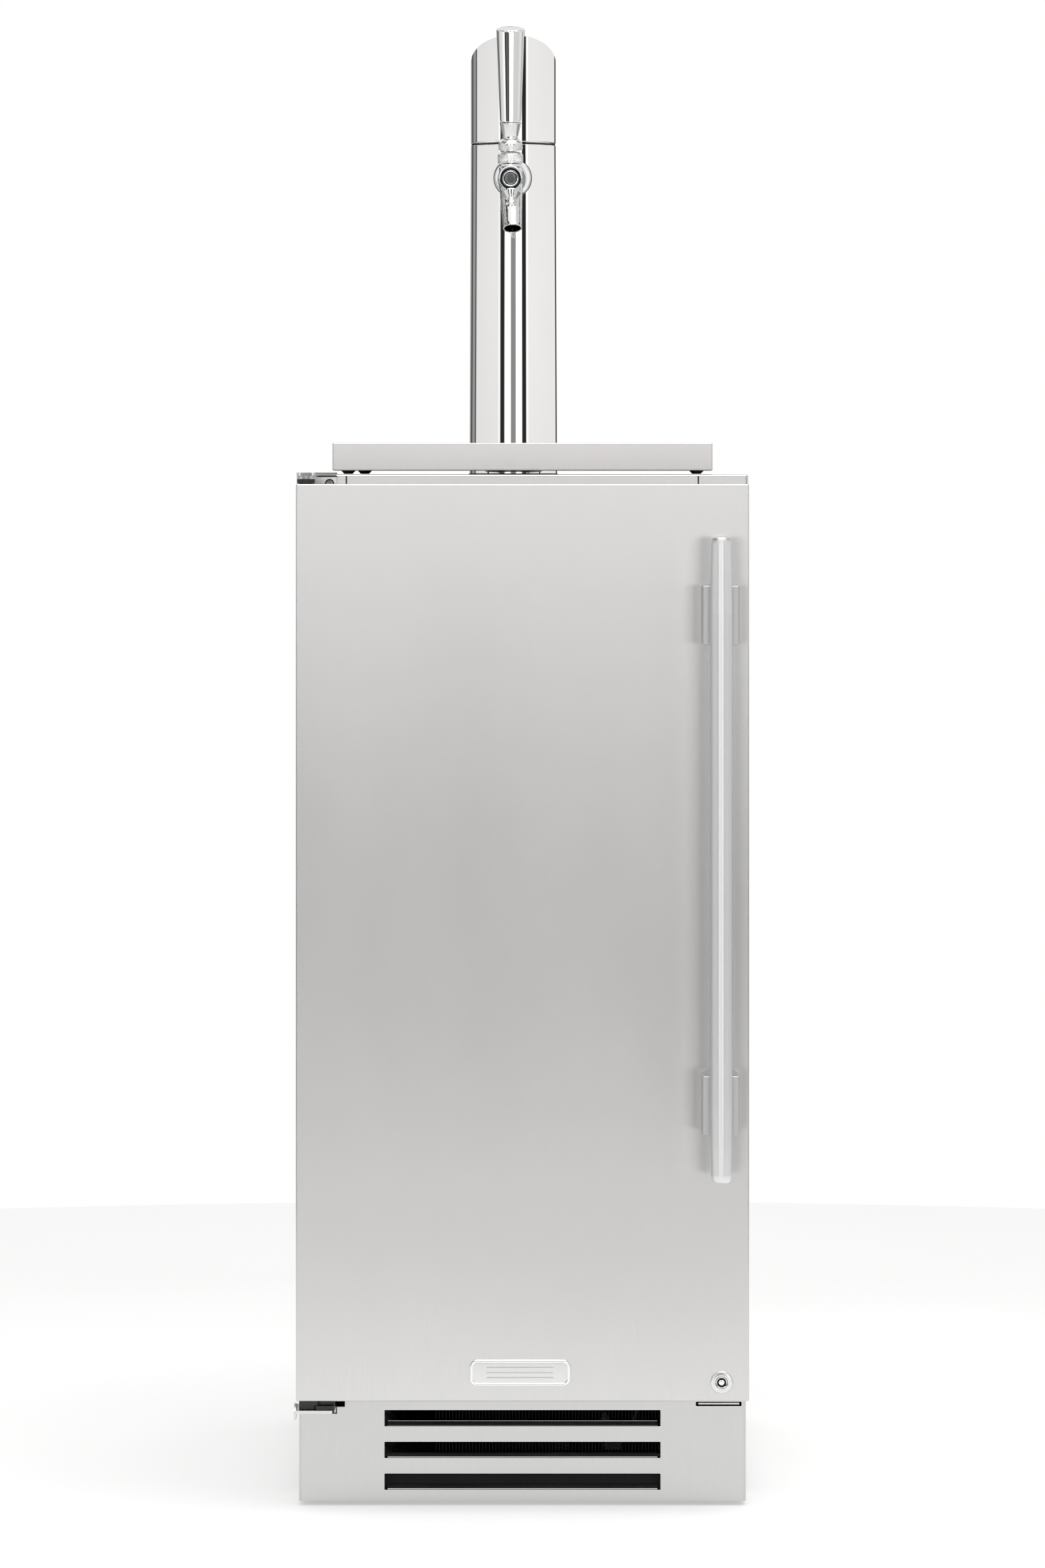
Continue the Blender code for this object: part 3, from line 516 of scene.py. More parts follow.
def spread(tree, value, low, high, start=0.3, end=0.7):
    inputs = {"Value": value, "From Min": start, "From Max": end, "To Min": low, "To Max": high}
    return node(tree, "ShaderNodeMapRange", inputs).outputs["Result"]


def tinted(colour, share):
    return tuple(max(0.0, min(1.0, c * share)) for c in colour)


def vary_colour(tree, shader, fac, colour, amount):
    stops = ((0.3, tinted(colour, 1 - amount)), (0.7, tinted(colour, 1 + amount)))
    tree.links.new(ramp(tree, fac, *stops), shader.inputs["Base Color"])


def add_bump(tree, shader, height, strength, distance):
    inputs = {"Height": height, "Strength": strength, "Distance": distance}
    made = node(tree, "ShaderNodeBump", inputs)
    tree.links.new(made.outputs["Normal"], shader.inputs["Normal"])


def brushed_metal(name, colour, roughness, axis="Z", anisotropy=0.7, amount=0.02, bump=0.04):
    """Metal with a fine grain along one axis, which spreads reflections across the grain."""
    material, tree, shader = start_material(name, Metallic=1.0, Anisotropic=anisotropy)
    fine = [1500.0, 1500.0, 1500.0]
    fine["XYZ".index(axis)] = 55.0
    grain = noise(tree, fine, 3.0, 0.6)
    cloud = noise(tree, (9.0, 9.0, 3.0), 2.0)
    vary_colour(tree, shader, grain, colour, amount)
    tree.links.new(
        spread(tree, cloud, roughness - 0.02, roughness + 0.02), shader.inputs["Roughness"]
    )
    add_bump(tree, shader, grain, bump, 0.00004)
    tangent = node(tree, "ShaderNodeTangent", direction_type="RADIAL", axis=axis)
    tree.links.new(tangent.outputs["Tangent"], shader.inputs["Tangent"])
    return material


def polished_metal(name, colour, roughness, waviness=0.02, amount=0.01, wave=(40.0, 40.0, 9.0)):
    """Bright metal, a little uneven, with faint smears in its gloss."""
    material, tree, shader = start_material(name, Metallic=1.0)
    smear = noise(tree, (60.0, 60.0, 25.0), 4.0, 0.6)
    vary_colour(tree, shader, smear, colour, amount)
    tree.links.new(
        spread(tree, smear, max(0.01, roughness - 0.015), roughness + 0.02),
        shader.inputs["Roughness"],
    )
    add_bump(tree, shader, noise(tree, wave, 2.0), waviness, 0.0006)
    return material


def moulded(name, colour, roughness, pebble=900.0, bump=0.25, amount=0.12, specular=0.5):
    """Plastic, paint or rubber with a fine pebbled skin."""
    material, tree, shader = start_material(name)
    shader.inputs["Specular IOR Level"].default_value = specular
    skin = noise(tree, (pebble,) * 3, 3.0, 0.6)
    cloud = noise(tree, (25.0,) * 3, 3.0)
    vary_colour(tree, shader, cloud, colour, amount)
    tree.links.new(
        spread(tree, skin, roughness - 0.06, roughness + 0.06), shader.inputs["Roughness"]
    )
    add_bump(tree, shader, skin, bump, 0.0001)
    return material


def foam_look():
    material, tree, shader = start_material("rigid_foam")
    cells = node(tree, "ShaderNodeTexVoronoi", {
        "Vector": node(tree, "ShaderNodeTexCoord").outputs["Object"], "Scale": 700.0,
    }).outputs["Distance"]
    vary_colour(tree, shader, noise(tree, (30.0,) * 3), (0.78, 0.66, 0.36), 0.1)
    shader.inputs["Roughness"].default_value = 0.9
    add_bump(tree, shader, cells, 0.5, 0.0004)
    return material


def vinyl_look(name, colour):
    """Clear hose that scatters a little light."""
    material, tree, shader = start_material(name, Roughness=0.12, IOR=1.5)
    shader.inputs["Transmission Weight"].default_value = 0.55
    vary_colour(tree, shader, noise(tree, (200.0, 200.0, 40.0)), colour, 0.05)
    add_bump(tree, shader, noise(tree, (90.0,) * 3), 0.1, 0.0003)
    return material


def dark_glass():
    material, tree, shader = start_material("dark_window", Roughness=0.06)
    vary_colour(tree, shader, noise(tree, (60.0,) * 3), (0.012, 0.012, 0.014), 0.3)
    shader.inputs["Coat Weight"].default_value = 0.6
    return material


def lamp_look(name, colour, strength):
    material, tree, shader = start_material(name, Roughness=0.3)
    vary_colour(tree, shader, noise(tree, (150.0,) * 3), colour, 0.04)
    shader.inputs["Emission Color"].default_value = (*colour, 1.0)
    shader.inputs["Emission Strength"].default_value = strength
    return material


def dial_look(name, face):
    """A plain gauge face: its ticks are pieces of their own."""
    material, tree, shader = start_material(name, Roughness=0.35)
    place = node(tree, "ShaderNodeTexCoord").outputs["Object"]
    mottle = node(tree, "ShaderNodeTexNoise", {"Vector": place, "Scale": 60.0}).outputs["Fac"]
    vary_colour(tree, shader, mottle, face, 0.02)
    return material


STEEL_COLOUR = (0.69, 0.683, 0.672)
LOOK = {
    "steel": brushed_metal("brushed_steel", STEEL_COLOUR, 0.23, anisotropy=1.0),
    "steel_flat": brushed_metal("brushed_steel_level", STEEL_COLOUR, 0.29, axis="Y", anisotropy=0.5),
    "grille": brushed_metal("brushed_steel_grille", (0.598, 0.598, 0.59), 0.24, anisotropy=0.9),
    "tray": brushed_metal("brushed_steel_tray", (0.622, 0.604, 0.6), 0.24, anisotropy=1.0),
    "rail": brushed_metal("brushed_steel_rail", (0.64, 0.634, 0.624), 0.25, anisotropy=0.9),
    "bracket": polished_metal("bright_bracket", (0.72, 0.72, 0.7), 0.16, 0.05),
    "polished": polished_metal(
        "polished_steel", (0.86, 0.85, 0.84), 0.03, 0.035, wave=(60.0, 60.0, 4.0)
    ),
    "cast": polished_metal(
        "cast_chrome", (0.78, 0.78, 0.775), 0.06, 0.36, 0.14, wave=(260.0, 260.0, 90.0)
    ),
    # Chrome with a dark base colour for the faucet's front cap and disc: a painted dark reflection
    "dark_reflection_chrome": polished_metal("chrome_painted_dark_reflection", (0.17, 0.18, 0.185), 0.22, 0.16, 0.35, wave=(420.0,) * 3),
    "flange": polished_metal("flange_chrome", (0.66, 0.665, 0.665), 0.3, 0.03, 0.02),
    "chrome": polished_metal("chrome", (0.9, 0.9, 0.89), 0.035, 0.05, wave=(130.0,) * 3),
    "knurl": polished_metal("knurled_chrome", (0.8, 0.8, 0.79), 0.16, 0.02),
    "bar": brushed_metal("satin_bar", (0.76, 0.76, 0.765), 0.31, anisotropy=0.6, bump=0.02),
    # The mounts are the handle's satin steel, made darker: painted shade on the mounts
    "mount": brushed_metal("satin_mount_painted_shade", (0.5, 0.49, 0.49), 0.42, anisotropy=0.4, bump=0.02),
    "satin": brushed_metal("satin_steel", (0.76, 0.76, 0.755), 0.16, anisotropy=0.5, bump=0.02),
    "zinc": polished_metal("zinc_plate", (0.5, 0.51, 0.51), 0.34, 0.06, 0.06),
    "foam": foam_look(),
    "liner": brushed_metal("liner_steel", (0.72, 0.72, 0.71), 0.36, anisotropy=0.3),
    "black": moulded("black_plastic", (0.018, 0.018, 0.019), 0.42),
    "black_matt": moulded("matt_black", (0.008, 0.008, 0.008), 0.7, specular=0.2),
    "paint": moulded("black_enamel", (0.012, 0.012, 0.013), 0.28, 400.0, 0.06),
    "rubber": moulded("rubber", (0.02, 0.017, 0.016), 0.62, 1500.0, 0.3),
    "gasket": moulded("gasket_vinyl", (0.1, 0.1, 0.105), 0.5, 1200.0, 0.15),
    "aluminium": brushed_metal("aluminium", (0.78, 0.78, 0.79), 0.3, anisotropy=0.35),
    # Near-black condenser fins: painted shade behind the grille's slots
    "fins": moulded("fins_painted_shade_black", (0.01, 0.01, 0.011), 0.6, 500.0, 0.1, specular=0.25),
    "copper": polished_metal("copper_tube", (0.72, 0.36, 0.22), 0.22, 0.08, 0.08),
    "brass": polished_metal("brass", (0.74, 0.55, 0.26), 0.18, 0.04, 0.05),
    "beer": vinyl_look("beer_hose", (0.86, 0.8, 0.62)),
    "gas": vinyl_look("gas_hose", (0.75, 0.22, 0.18)),
    "window": dark_glass(),
    # The louvre lips are the grille's stainless steel; their dark grey colour is painted shade inside
    # the slots
    "lip": brushed_metal("lip_painted_shade", (0.2, 0.2, 0.2), 0.35, axis="X", anisotropy=0.4),
    "lens": lamp_look("lamp_lens", (0.92, 0.95, 1.0), 0.6),
    "dial": dial_look("dial_face", (0.88, 0.88, 0.86)),
}


# ------------------------------------------------------------------ cabinet

def build_wrapper():
    low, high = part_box("outer_shell")
    bm = new_block(low, high, 0.0022, 4)
    wrapper = object_from("cabinet_wrapper", bm)
    room = new_block(
        (low.x + SHEET, low.y - 0.05, low.z - 0.05),
        (high.x - SHEET, high.y - SHEET, high.z - SHEET),
    )
    service = new_block((-0.165, 0.3, 0.045), (0.165, 0.36, 0.262), 0.006, 4, "Y")
    centre = centre_of("tower_column")
    hole = new_rod(at((centre.x, centre.y, high.z - 0.03)), 0.03, 0.06)
    toe = new_block((-0.25, low.y - 0.05, 0.0), (0.25, TOE_BACK, 0.0941))
    carve(wrapper, room, service, hole, toe)
    finish_piece(
        wrapper, "steel", "cabinet", "stainless", ("outer_shell",), bevel=0.0003,
        top="steel_flat",
    )

    columns = (low.x + 0.014, high.x - 0.014)
    screw_grid("rear_screws", columns, high.y, (0.12, 0.34, 0.58, 0.82), "+Y", 0.0042, "bracket")


def build_liner():
    low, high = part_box("inner_liner")
    wall = 0.002
    step_front, step_top = 0.085, 0.3
    front = new_block(low, (high.x, step_front + wall, high.z))
    liner = object_from("cavity_liner", front)
    rear = new_block((low.x, 0.0, step_top - wall), high)
    boolean(liner, "UNION", rear)
    room = new_block(
        (low.x + wall, -0.3, low.z + wall), (high.x - wall, step_front, high.z - wall), 0.012, 5,
    )
    upper = new_block(
        (low.x + wall, -0.06, step_top), (high.x - wall, high.y - wall, high.z - wall), 0.012, 5,
    )
    carve(liner, room, upper)
    finish_piece(liner, "liner", "cabinet", "liner_steel", ("inner_liner",), bevel=0.0003)

    mat = bmesh.new()
    floor = low.z + wall
    for row in range(9):
        x = -0.108 + 0.027 * row
        add_block(
            mat, (x - 0.005, low.y + 0.03, floor), (x + 0.005, step_front - 0.018, floor + 0.003),
            0.0012, 2,
        )
    piece("keg_rails", mat, "rubber", "cabinet", "rubber")

    low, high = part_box("breaker_collar")
    collar = object_from("breaker_frame", new_block(low, high, 0.0012, 2))
    mouth = new_block((-0.15, -0.25, 0.16), (0.15, -0.2, 0.832), 0.011, 5, "Y")
    carve(collar, mouth)
    finish_piece(collar, "black", "cabinet", "black_plastic", ("breaker_collar",), bevel=0.0006)


def build_top_trim():
    for name in ("corner_plate_left", "top_rail", "corner_plate_right"):
        low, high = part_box(name)
        bm = new_block(low, high + Vector((0.0, 0.0, 0.0003)), 0.0003, 2)
        piece(f"trim_{name}", bm, "rail", "cabinet", "stainless", (name,))
    low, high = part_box("top_rail")
    # Dark strips in the joints at both ends of the rail: painted shade standing for the gaps between
    # rail and corner plates
    dark = bmesh.new()
    for x in (low.x - 0.0005, high.x + 0.0005):
        add_block(
            dark, (x - 0.0006, low.y + 0.0012, low.z), (x + 0.0006, high.y + 0.002, high.z), 0.0002,
            1,
        )
    piece("trim_joint_painted_shade", dark, "rubber", "cabinet", "rubber")


def build_hinges():
    low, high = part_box("top_hinge_bracket")
    plate_low = high.z - 0.0026
    outline = rounded([
        (low.x, high.y), (low.x, low.y), (-0.173, low.y), (-0.1715, low.y + 0.012), (-0.16, -0.245),
        (high.x, -0.24), (high.x, high.y),
    ], 0.003, 4, closed=True)
    bm = new_plate(outline, [], raised(plate_low), 0.0026)
    piece(
        "upper_hinge_plate", bm, "bracket", "cabinet", "stainless", ("top_hinge_bracket",),
        bevel=0.0004,
    )
    upright = new_block((-0.185, -0.229, 0.8505), (high.x, high.y, plate_low + 0.0006), 0.0007, 2)
    piece("upper_hinge_upright", upright, "rail", "cabinet", "stainless")
    # A black strip under the front of the plate and a black ring round the screw: painted shade under
    # the hinge plate and round the screw head
    shade = new_block((-0.1726, -0.231, plate_low - 0.001), (high.x, -0.2288, plate_low + 0.0002))
    wire_ring(shade, at((-0.1623, -0.2291, 0.859), "-Y"), 0.0034, 0.0005, 48)
    piece("upper_hinge_painted_shade", shade, "black_matt", "cabinet", "rubber")
    screws = bmesh.new()
    add_screw(screws, at((-0.1623, -0.229, 0.859), "-Y"), 0.0028)
    add_turned(
        screws, [(0.0, 0.0), (0.003, 0.0), (0.003, 0.0105), (0.0, 0.0105)],
        at((HINGE_PIN.x, HINGE_PIN.y, high.z - 0.0115)), 32, fillet=0.0003,
    )
    piece("upper_hinge_screws", screws, "zinc", "cabinet", "zinc_steel")

    sleeve_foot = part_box("door_bushing")[0].z
    sleeve = new_turned([
        (0.0, 0.0), (0.006, 0.0), (0.006, 0.0192), (0.0075, 0.0192), (0.0075, 0.0228),
        (0.0034, 0.0228), (0.0034, 0.006), (0.0, 0.006),
    ], at((HINGE_PIN.x, HINGE_PIN.y, sleeve_foot)), 48, fillet=0.0003)
    piece("upper_bushing", sleeve, "black", "door", "black_plastic", ("door_bushing",))

    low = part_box("bottom_hinge_bracket")[0]
    ear_low, plate_high = 0.0775, 0.0858
    outline = rounded([
        (-0.1886, -0.233), (-0.19, -0.246), (-0.19, low.y), (-0.159, low.y),
        (-0.1566, low.y + 0.006), (-0.1566, -0.2225), (-0.186, -0.2225), (-0.186, -0.233),
    ], 0.0012, 3, closed=True)
    bm = new_plate(outline, [], raised(plate_high - 0.0026), 0.0026)
    add_block(bm, (-0.186, -0.2262, 0.045), (-0.1566, -0.2225, plate_high - 0.0005), 0.0006, 2)
    ear = rounded([
        (-0.245, ear_low + 0.004), (-0.252, ear_low), (-0.274, ear_low), (-0.278, ear_low + 0.005),
        (-0.278, 0.085), (-0.2735, 0.0886), (-0.25, 0.0886), (-0.245, 0.085),
    ], 0.0018, 4, closed=True)
    add_plate(bm, ear, [], drawn_yz(low.x), 0.0019)
    piece(
        "lower_hinge_plate", bm, "bracket", "cabinet", "stainless", ("bottom_hinge_bracket",),
        bevel=0.0003,
    )
    pins = bmesh.new()
    add_rod(pins, at((HINGE_PIN.x, HINGE_PIN.y, plate_high - 0.0016)), 0.003, 0.021, 32)
    add_screw(pins, at((-0.162, -0.234, 0.08), "-Y"), 0.0026, False)
    piece("lower_hinge_pin", pins, "zinc", "cabinet", "zinc_steel")

    low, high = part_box("hinge_closer")
    half = (low.z + high.z) / 2
    hole = [circle((HINGE_PIN.x, HINGE_PIN.y), 0.0034, 32)]
    upper = [
        (low.x, low.y), (-0.1715, low.y), (-0.169, low.y + 0.004), (high.x, low.y + 0.006),
        (high.x, high.y), (low.x, high.y),
    ]
    lower = [
        (low.x, low.y + 0.004), (-0.174, low.y + 0.004), (-0.1725, low.y), (high.x, low.y),
        (high.x, high.y), (low.x, high.y),
    ]
    for name, look, corners, foot, top, stands_for in (
        ("closer_cam", "black", upper, half, high.z, ("hinge_closer",)),
        ("closer_base", "paint", lower, low.z, half - 0.0004, ()),
    ):
        outline = rounded(corners, 0.0012, 3, closed=True)
        bm = new_plate(outline, hole, raised(foot), top - foot)
        piece(name, bm, look, "cabinet", "black_plastic", stands_for, bevel=0.0003)


def build_grille():
    low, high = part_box("kick_grille")
    slots = [0.0131 + 0.0267 * row for row in range(3)]
    half, tall = 0.116, 0.0136
    left, right = low.x, high.x
    turn = 0.0016
    # The face stops lower on the left, beside the hinge
    left_top = 0.077
    outline = [
        (left + turn, low.z), (right - turn, low.z), (right - turn, high.z), (-0.1494, high.z),
        (-0.1494, 0.0829), (-0.1561, 0.0829), (-0.1561, left_top), (left + turn, left_top),
    ]
    holes = [oval((0.0, z + tall / 2), 2 * half, tall, 0.0006, 3) for z in slots]
    holes.append(oval((0.165, 0.0853), 0.0384, 0.0036, 0.0008, 3))
    plate = new_plate(outline, holes, drawn_xz(low.y), SHEET)
    face = object_from("louvred_face", plate)
    bends = bmesh.new()
    for side, top in ((left, left_top), (right, high.z)):
        inward = 1 if side < 0 else -1
        arc = [
            (side + inward * turn * (1 - math.cos(a)), low.y + turn * (1 - math.sin(a)))
            for a in (math.pi / 2 * i / 6 for i in range(7))
        ]
        inside = side + inward * SHEET
        loop = [
            (side, high.y), *arc, (arc[-1][0], low.y + SHEET), (inside, low.y + SHEET),
            (inside, high.y),
        ]
        add_plate(bends, loop, [], raised(low.z), top - low.z)
    finish_piece(face, "grille", "cabinet", "stainless", ("kick_grille",), bevel=0.00022)
    pan_low, pan_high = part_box("base_pan")
    for side in (left, right - SHEET):
        add_block(
            bends, (side, high.y + 0.0012, low.z), (side + SHEET, TOE_BACK + 0.001, high.z), 0.0004,
            2,
        )
    piece("grille_returns", bends, "grille", "cabinet", "stainless")
    edge_left, edge_right, edge_back = left + 0.002, right - 0.002, TOE_BACK + 0.0015
    pan = new_plate([
        (edge_left, pan_low.y), (edge_right, pan_low.y), (edge_right, edge_back),
        (pan_high.x, edge_back), (pan_high.x, pan_high.y), (pan_low.x, pan_high.y),
        (pan_low.x, edge_back), (edge_left, edge_back),
    ], [], raised(pan_low.z), pan_high.z - pan_low.z)
    piece("chassis_pan", pan, "paint", "cabinet", "black_paint", ("base_pan",), bevel=0.0006)

    lips = bmesh.new()
    for z in slots:
        section = rounded([
            (low.y + 0.0002, z - 0.0002), (low.y + 0.0014, z - 0.0002), (low.y + 0.006, z + 0.003),
            (low.y + 0.0054, z + 0.004), (low.y + 0.0002, z + 0.0006),
        ], 0.0004, 2, closed=True)
        add_plate(lips, section, [], drawn_yz(0.0025 - half), 2 * half - 0.005)
    # The lips take a dark grey look: painted shade inside the slots
    piece("louvre_lips", lips, "lip", "cabinet", "stainless")
    # Strips of brighter polished steel along the slot edges: painted highlights on the louvre folds
    folds = bmesh.new()
    for row, z in enumerate(slots):
        fold_y, fold_z = (0.0052, 0.0036) if row == 2 else (0.0003, 0.0006)
        add_block(
            folds, (0.0025 - half, low.y + fold_y, z + fold_z - 0.0002),
            (half - 0.0025, low.y + fold_y + 0.0016, z + fold_z + 0.0006), 0.0002, 1,
        )
    piece("louvre_fold_highlights", folds, "bracket", "cabinet", "stainless")

    strike = new_block((0.1478, low.y + 0.002, 0.0844), (0.1824, low.y + 0.004, 0.0862), 0.0004, 2)
    piece("strike_plate", strike, "bracket", "cabinet", "stainless")
    dark = new_block(
        (0.144, low.y + 0.0046, 0.08), (0.185, high.y - 0.0003, high.z - 0.0004),
        0.0003, 1,
    )
    piece("strike_box", dark, "black_matt", "cabinet", "black_plastic")
    # A black wall and floor strip behind the lowest slot: painted shade, so the lit floor under the
    # cabinet stays hidden
    near, wall, far = high.y + 0.0006, high.y + 0.0016, high.y + 0.018
    baffle = new_plate([
        (near, 0.0045), (far, 0.0045), (far, 0.0055), (wall, 0.0055), (wall, 0.03), (near, 0.03),
    ], [], drawn_yz(-0.15), 0.3)
    piece("toe_painted_shade_wall", baffle, "black_matt", "cabinet", "black_paint", bevel=0.0002)


def build_refrigeration():
    low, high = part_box("condenser")
    fins = bmesh.new()
    pitch, front, back = 0.0028, low.y, -0.188
    count = int((high.x - low.x) / pitch)
    for i in range(count):
        x = low.x + 0.002 + pitch * i
        add_block(fins, (x, front, low.z + 0.003), (x + 0.00035, back, high.z - 0.003))
    for z in (low.z, high.z - 0.003):
        add_block(fins, (low.x, front + 0.001, z), (high.x, back, z + 0.003), 0.0004, 1)
    # The fins are near-black: painted shade behind the grille
    piece("condenser_fins", fins, "fins", "cabinet", "black_paint", ("condenser",), weighted=False)

    tubes = bmesh.new()
    middle, bend = -0.204, 0.0125
    for row in range(4):
        z = 0.04 + 0.025 * row
        path = [Vector((low.x - 0.002, middle, z)), Vector((high.x - 0.004, middle, z))]
        turn_path = [
            Vector(
                (high.x - 0.004 + 0.5 * bend * math.sin(a), middle, z + bend - bend * math.cos(a))
            )
            for a in (math.pi * i / 10 for i in range(11))
        ]
        add_tube(tubes, path, 0.0032, 14)
        if row in (0, 2):
            add_tube(tubes, turn_path, 0.0032, 14)
    # The condenser tubes take black paint in place of copper: painted shade behind the grille
    piece("condenser_tubes", tubes, "paint", "cabinet", "black_paint")

    hub = Vector((0.05, -0.189, 0.077))
    shroud = new_plate(
        oval((hub.x, hub.z), 0.15, 0.1, 0.006),
        [circle((hub.x, hub.z), 0.0484, 64)],
        drawn_xz(-0.188), 0.0012,
    )
    add_pipe(shroud, at(hub, "+Y"), 0.051, 0.0485, 0.028, 72)
    add_rod(shroud, at(hub, "+Y"), 0.018, 0.0115, 40, 0.001)
    for turn in range(3):
        direction = Matrix.Rotation(math.radians(90 + 120 * turn), 4, "Y")
        arm = new_block((0.01, 0.001, -0.003), (0.0495, 0.003, 0.003), 0.0006, 2)
        arm.transform(Matrix.Translation(hub) @ direction)
        merge(shroud, arm)
    piece("condenser_shroud", shroud, "black", "cabinet", "black_plastic")
    build_fan("condenser_blower", "condenser_fan")

    dome = new_turned([
        (0.0, 0.0), (0.072, 0.0), (0.0745, 0.004), (0.0745, 0.07), (0.0758, 0.071), (0.0758, 0.076),
        (0.0745, 0.077), (0.0742, 0.085), (0.07, 0.108), (0.056, 0.128), (0.03, 0.139),
        (0.0, 0.142),
    ], at((-0.045, 0.222, 0.042)), 96, fillet=0.004, steps=4)
    add_block(dome, (-0.135, 0.15, 0.03), (0.045, 0.294, 0.0335), 0.0012, 2)
    add_block(dome, (0.02, 0.195, 0.07), (0.052, 0.249, 0.13), 0.004, 3)
    piece("compressor_shell", dome, "paint", "cabinet", "black_paint", ("compressor",))
    mounts = bmesh.new()
    for x in (-0.122, 0.032):
        for y in (0.162, 0.282):
            add_turned(
                mounts, [(0.0, 0.0), (0.009, 0.0), (0.007, 0.006), (0.0075, 0.0125), (0.0, 0.0125)],
                at((x, y, 0.024)), 32, fillet=0.0008,
            )
    piece("compressor_mounts", mounts, "rubber", "cabinet", "rubber")

    build_evaporator()


def build_fan(name, node_name):
    """A hub with a rounded nose and five swept, twisted blades."""
    low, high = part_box(node_name)
    centre = (low + high) / 2
    radius, depth = (high.x - low.x) / 2, high.y - low.y
    place = at((centre.x, low.y, centre.z), "+Y")
    bm = new_turned(
        [(0.0, 0.0), (0.4 * radius, 0.0), (0.4 * radius, depth), (0.32 * radius, depth),
         (0.32 * radius, 0.3 * depth), (0.0, 0.3 * depth)],
        place, 48, fillet=0.0012,
    )
    rows, across = 8, 5
    for blade in range(5):
        part = bmesh.new()
        grid = []
        for i in range(rows + 1):
            share = i / rows
            reach = radius * (0.37 + 0.615 * share)
            sweep = 2 * math.pi * blade / 5 + 0.35 * share
            width = math.radians(52.0) * (1 - 0.25 * (2 * share - 1) ** 2)
            rise = depth * (0.86 - 0.34 * share)
            grid.append([
                part.verts.new((
                    reach * math.cos(sweep + width * (j / across - 0.5)),
                    reach * math.sin(sweep + width * (j / across - 0.5)),
                    depth * 0.5 + rise * (j / across - 0.5),
                ))
                for j in range(across + 1)
            ])
        for inner, outer in zip(grid, grid[1:]):
            for j in range(across):
                part.faces.new((inner[j], inner[j + 1], outer[j + 1], outer[j]))
        bmesh.ops.solidify(part, geom=part.faces[:], thickness=0.001)
        part.transform(place)
        merge(bm, part)
    piece(name, bm, "black", node_body(node_name), "black_plastic", (node_name,), sharp=50.0)


def build_evaporator():
    low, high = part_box("evaporator_coil")
    fins = bmesh.new()
    pitch = 0.0042
    for i in range(int((high.x - low.x - 0.012) / pitch)):
        x = low.x + 0.006 + pitch * i
        add_block(fins, (x, low.y, low.z), (x + 0.0003, high.y, high.z))
    piece(
        "evaporator_fins", fins, "aluminium", "cabinet", "aluminium", ("evaporator_coil",),
        weighted=False,
    )
    tubes = bmesh.new()
    for row in range(4):
        z = low.z + 0.01 + 0.0215 * row
        for y in (low.y + 0.009, high.y - 0.009):
            add_tube(tubes, [Vector((low.x, y, z)), Vector((high.x, y, z))], 0.0038, 14)
    piece("evaporator_tubes", tubes, "copper", "cabinet", "aluminium")

    low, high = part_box("evaporator_cover")
    fan_z = centre_of("evaporator_fan").z
    cover = object_from("evaporator_hood", new_block(low, high, 0.004, 4))
    room = new_block(
        (low.x + 0.0015, low.y + 0.0015, low.z + 0.0015),
        (high.x - 0.0015, high.y + 0.05, high.z - 0.0015),
        0.003, 3,
    )
    outlet = new_rod(at((0.0, 0.2, fan_z), "+Y"), 0.043, 0.06, 72, 0.0)
    slots = []
    for row in range(5):
        foot = low.z + 0.01 + 0.013 * row
        for x in (-0.09, -0.03, 0.03, 0.09):
            corners = (x - 0.026, 0.2, foot), (x + 0.026, 0.26, foot + 0.005)
            slots.append(new_block(*corners, 0.0024, 3, "Y"))
    carve(cover, room, outlet, *slots)
    finish_piece(cover, "liner", "cabinet", "liner_steel", ("evaporator_cover",), bevel=0.0003)

    guard = bmesh.new()
    middle = Vector((0.0, low.y + 0.0003, fan_z))
    for ring in range(1, 5):
        wire_ring(guard, at(middle, "+Y"), 0.0105 * ring, 0.0007)
    for turn in range(4):
        angle = math.pi * (turn + 0.5) / 4
        spoke = 0.045 * Vector((math.cos(angle), 0.0, math.sin(angle)))
        add_tube(guard, [middle - spoke, middle + spoke], 0.0008, 8)
    piece("fan_guard", guard, "chrome", "cabinet", "chrome")
    carrier = bmesh.new()
    add_rod(carrier, at((0.0, 0.257, fan_z), "+Y"), 0.017, 0.012, 40, 0.001)
    add_block(
        carrier, (low.x + 0.002, 0.264, fan_z - 0.003), (high.x - 0.002, 0.2665, fan_z + 0.003),
        0.0005, 2,
    )
    piece("fan_carrier", carrier, "zinc", "cabinet", "zinc_steel")
    columns, rows = (low.x + 0.01, high.x - 0.01), (low.z + 0.01, high.z - 0.01)
    screw_grid("hood_screws", columns, low.y, rows, "-Y", 0.0035, "zinc")
    build_fan("evaporator_blower", "evaporator_fan")


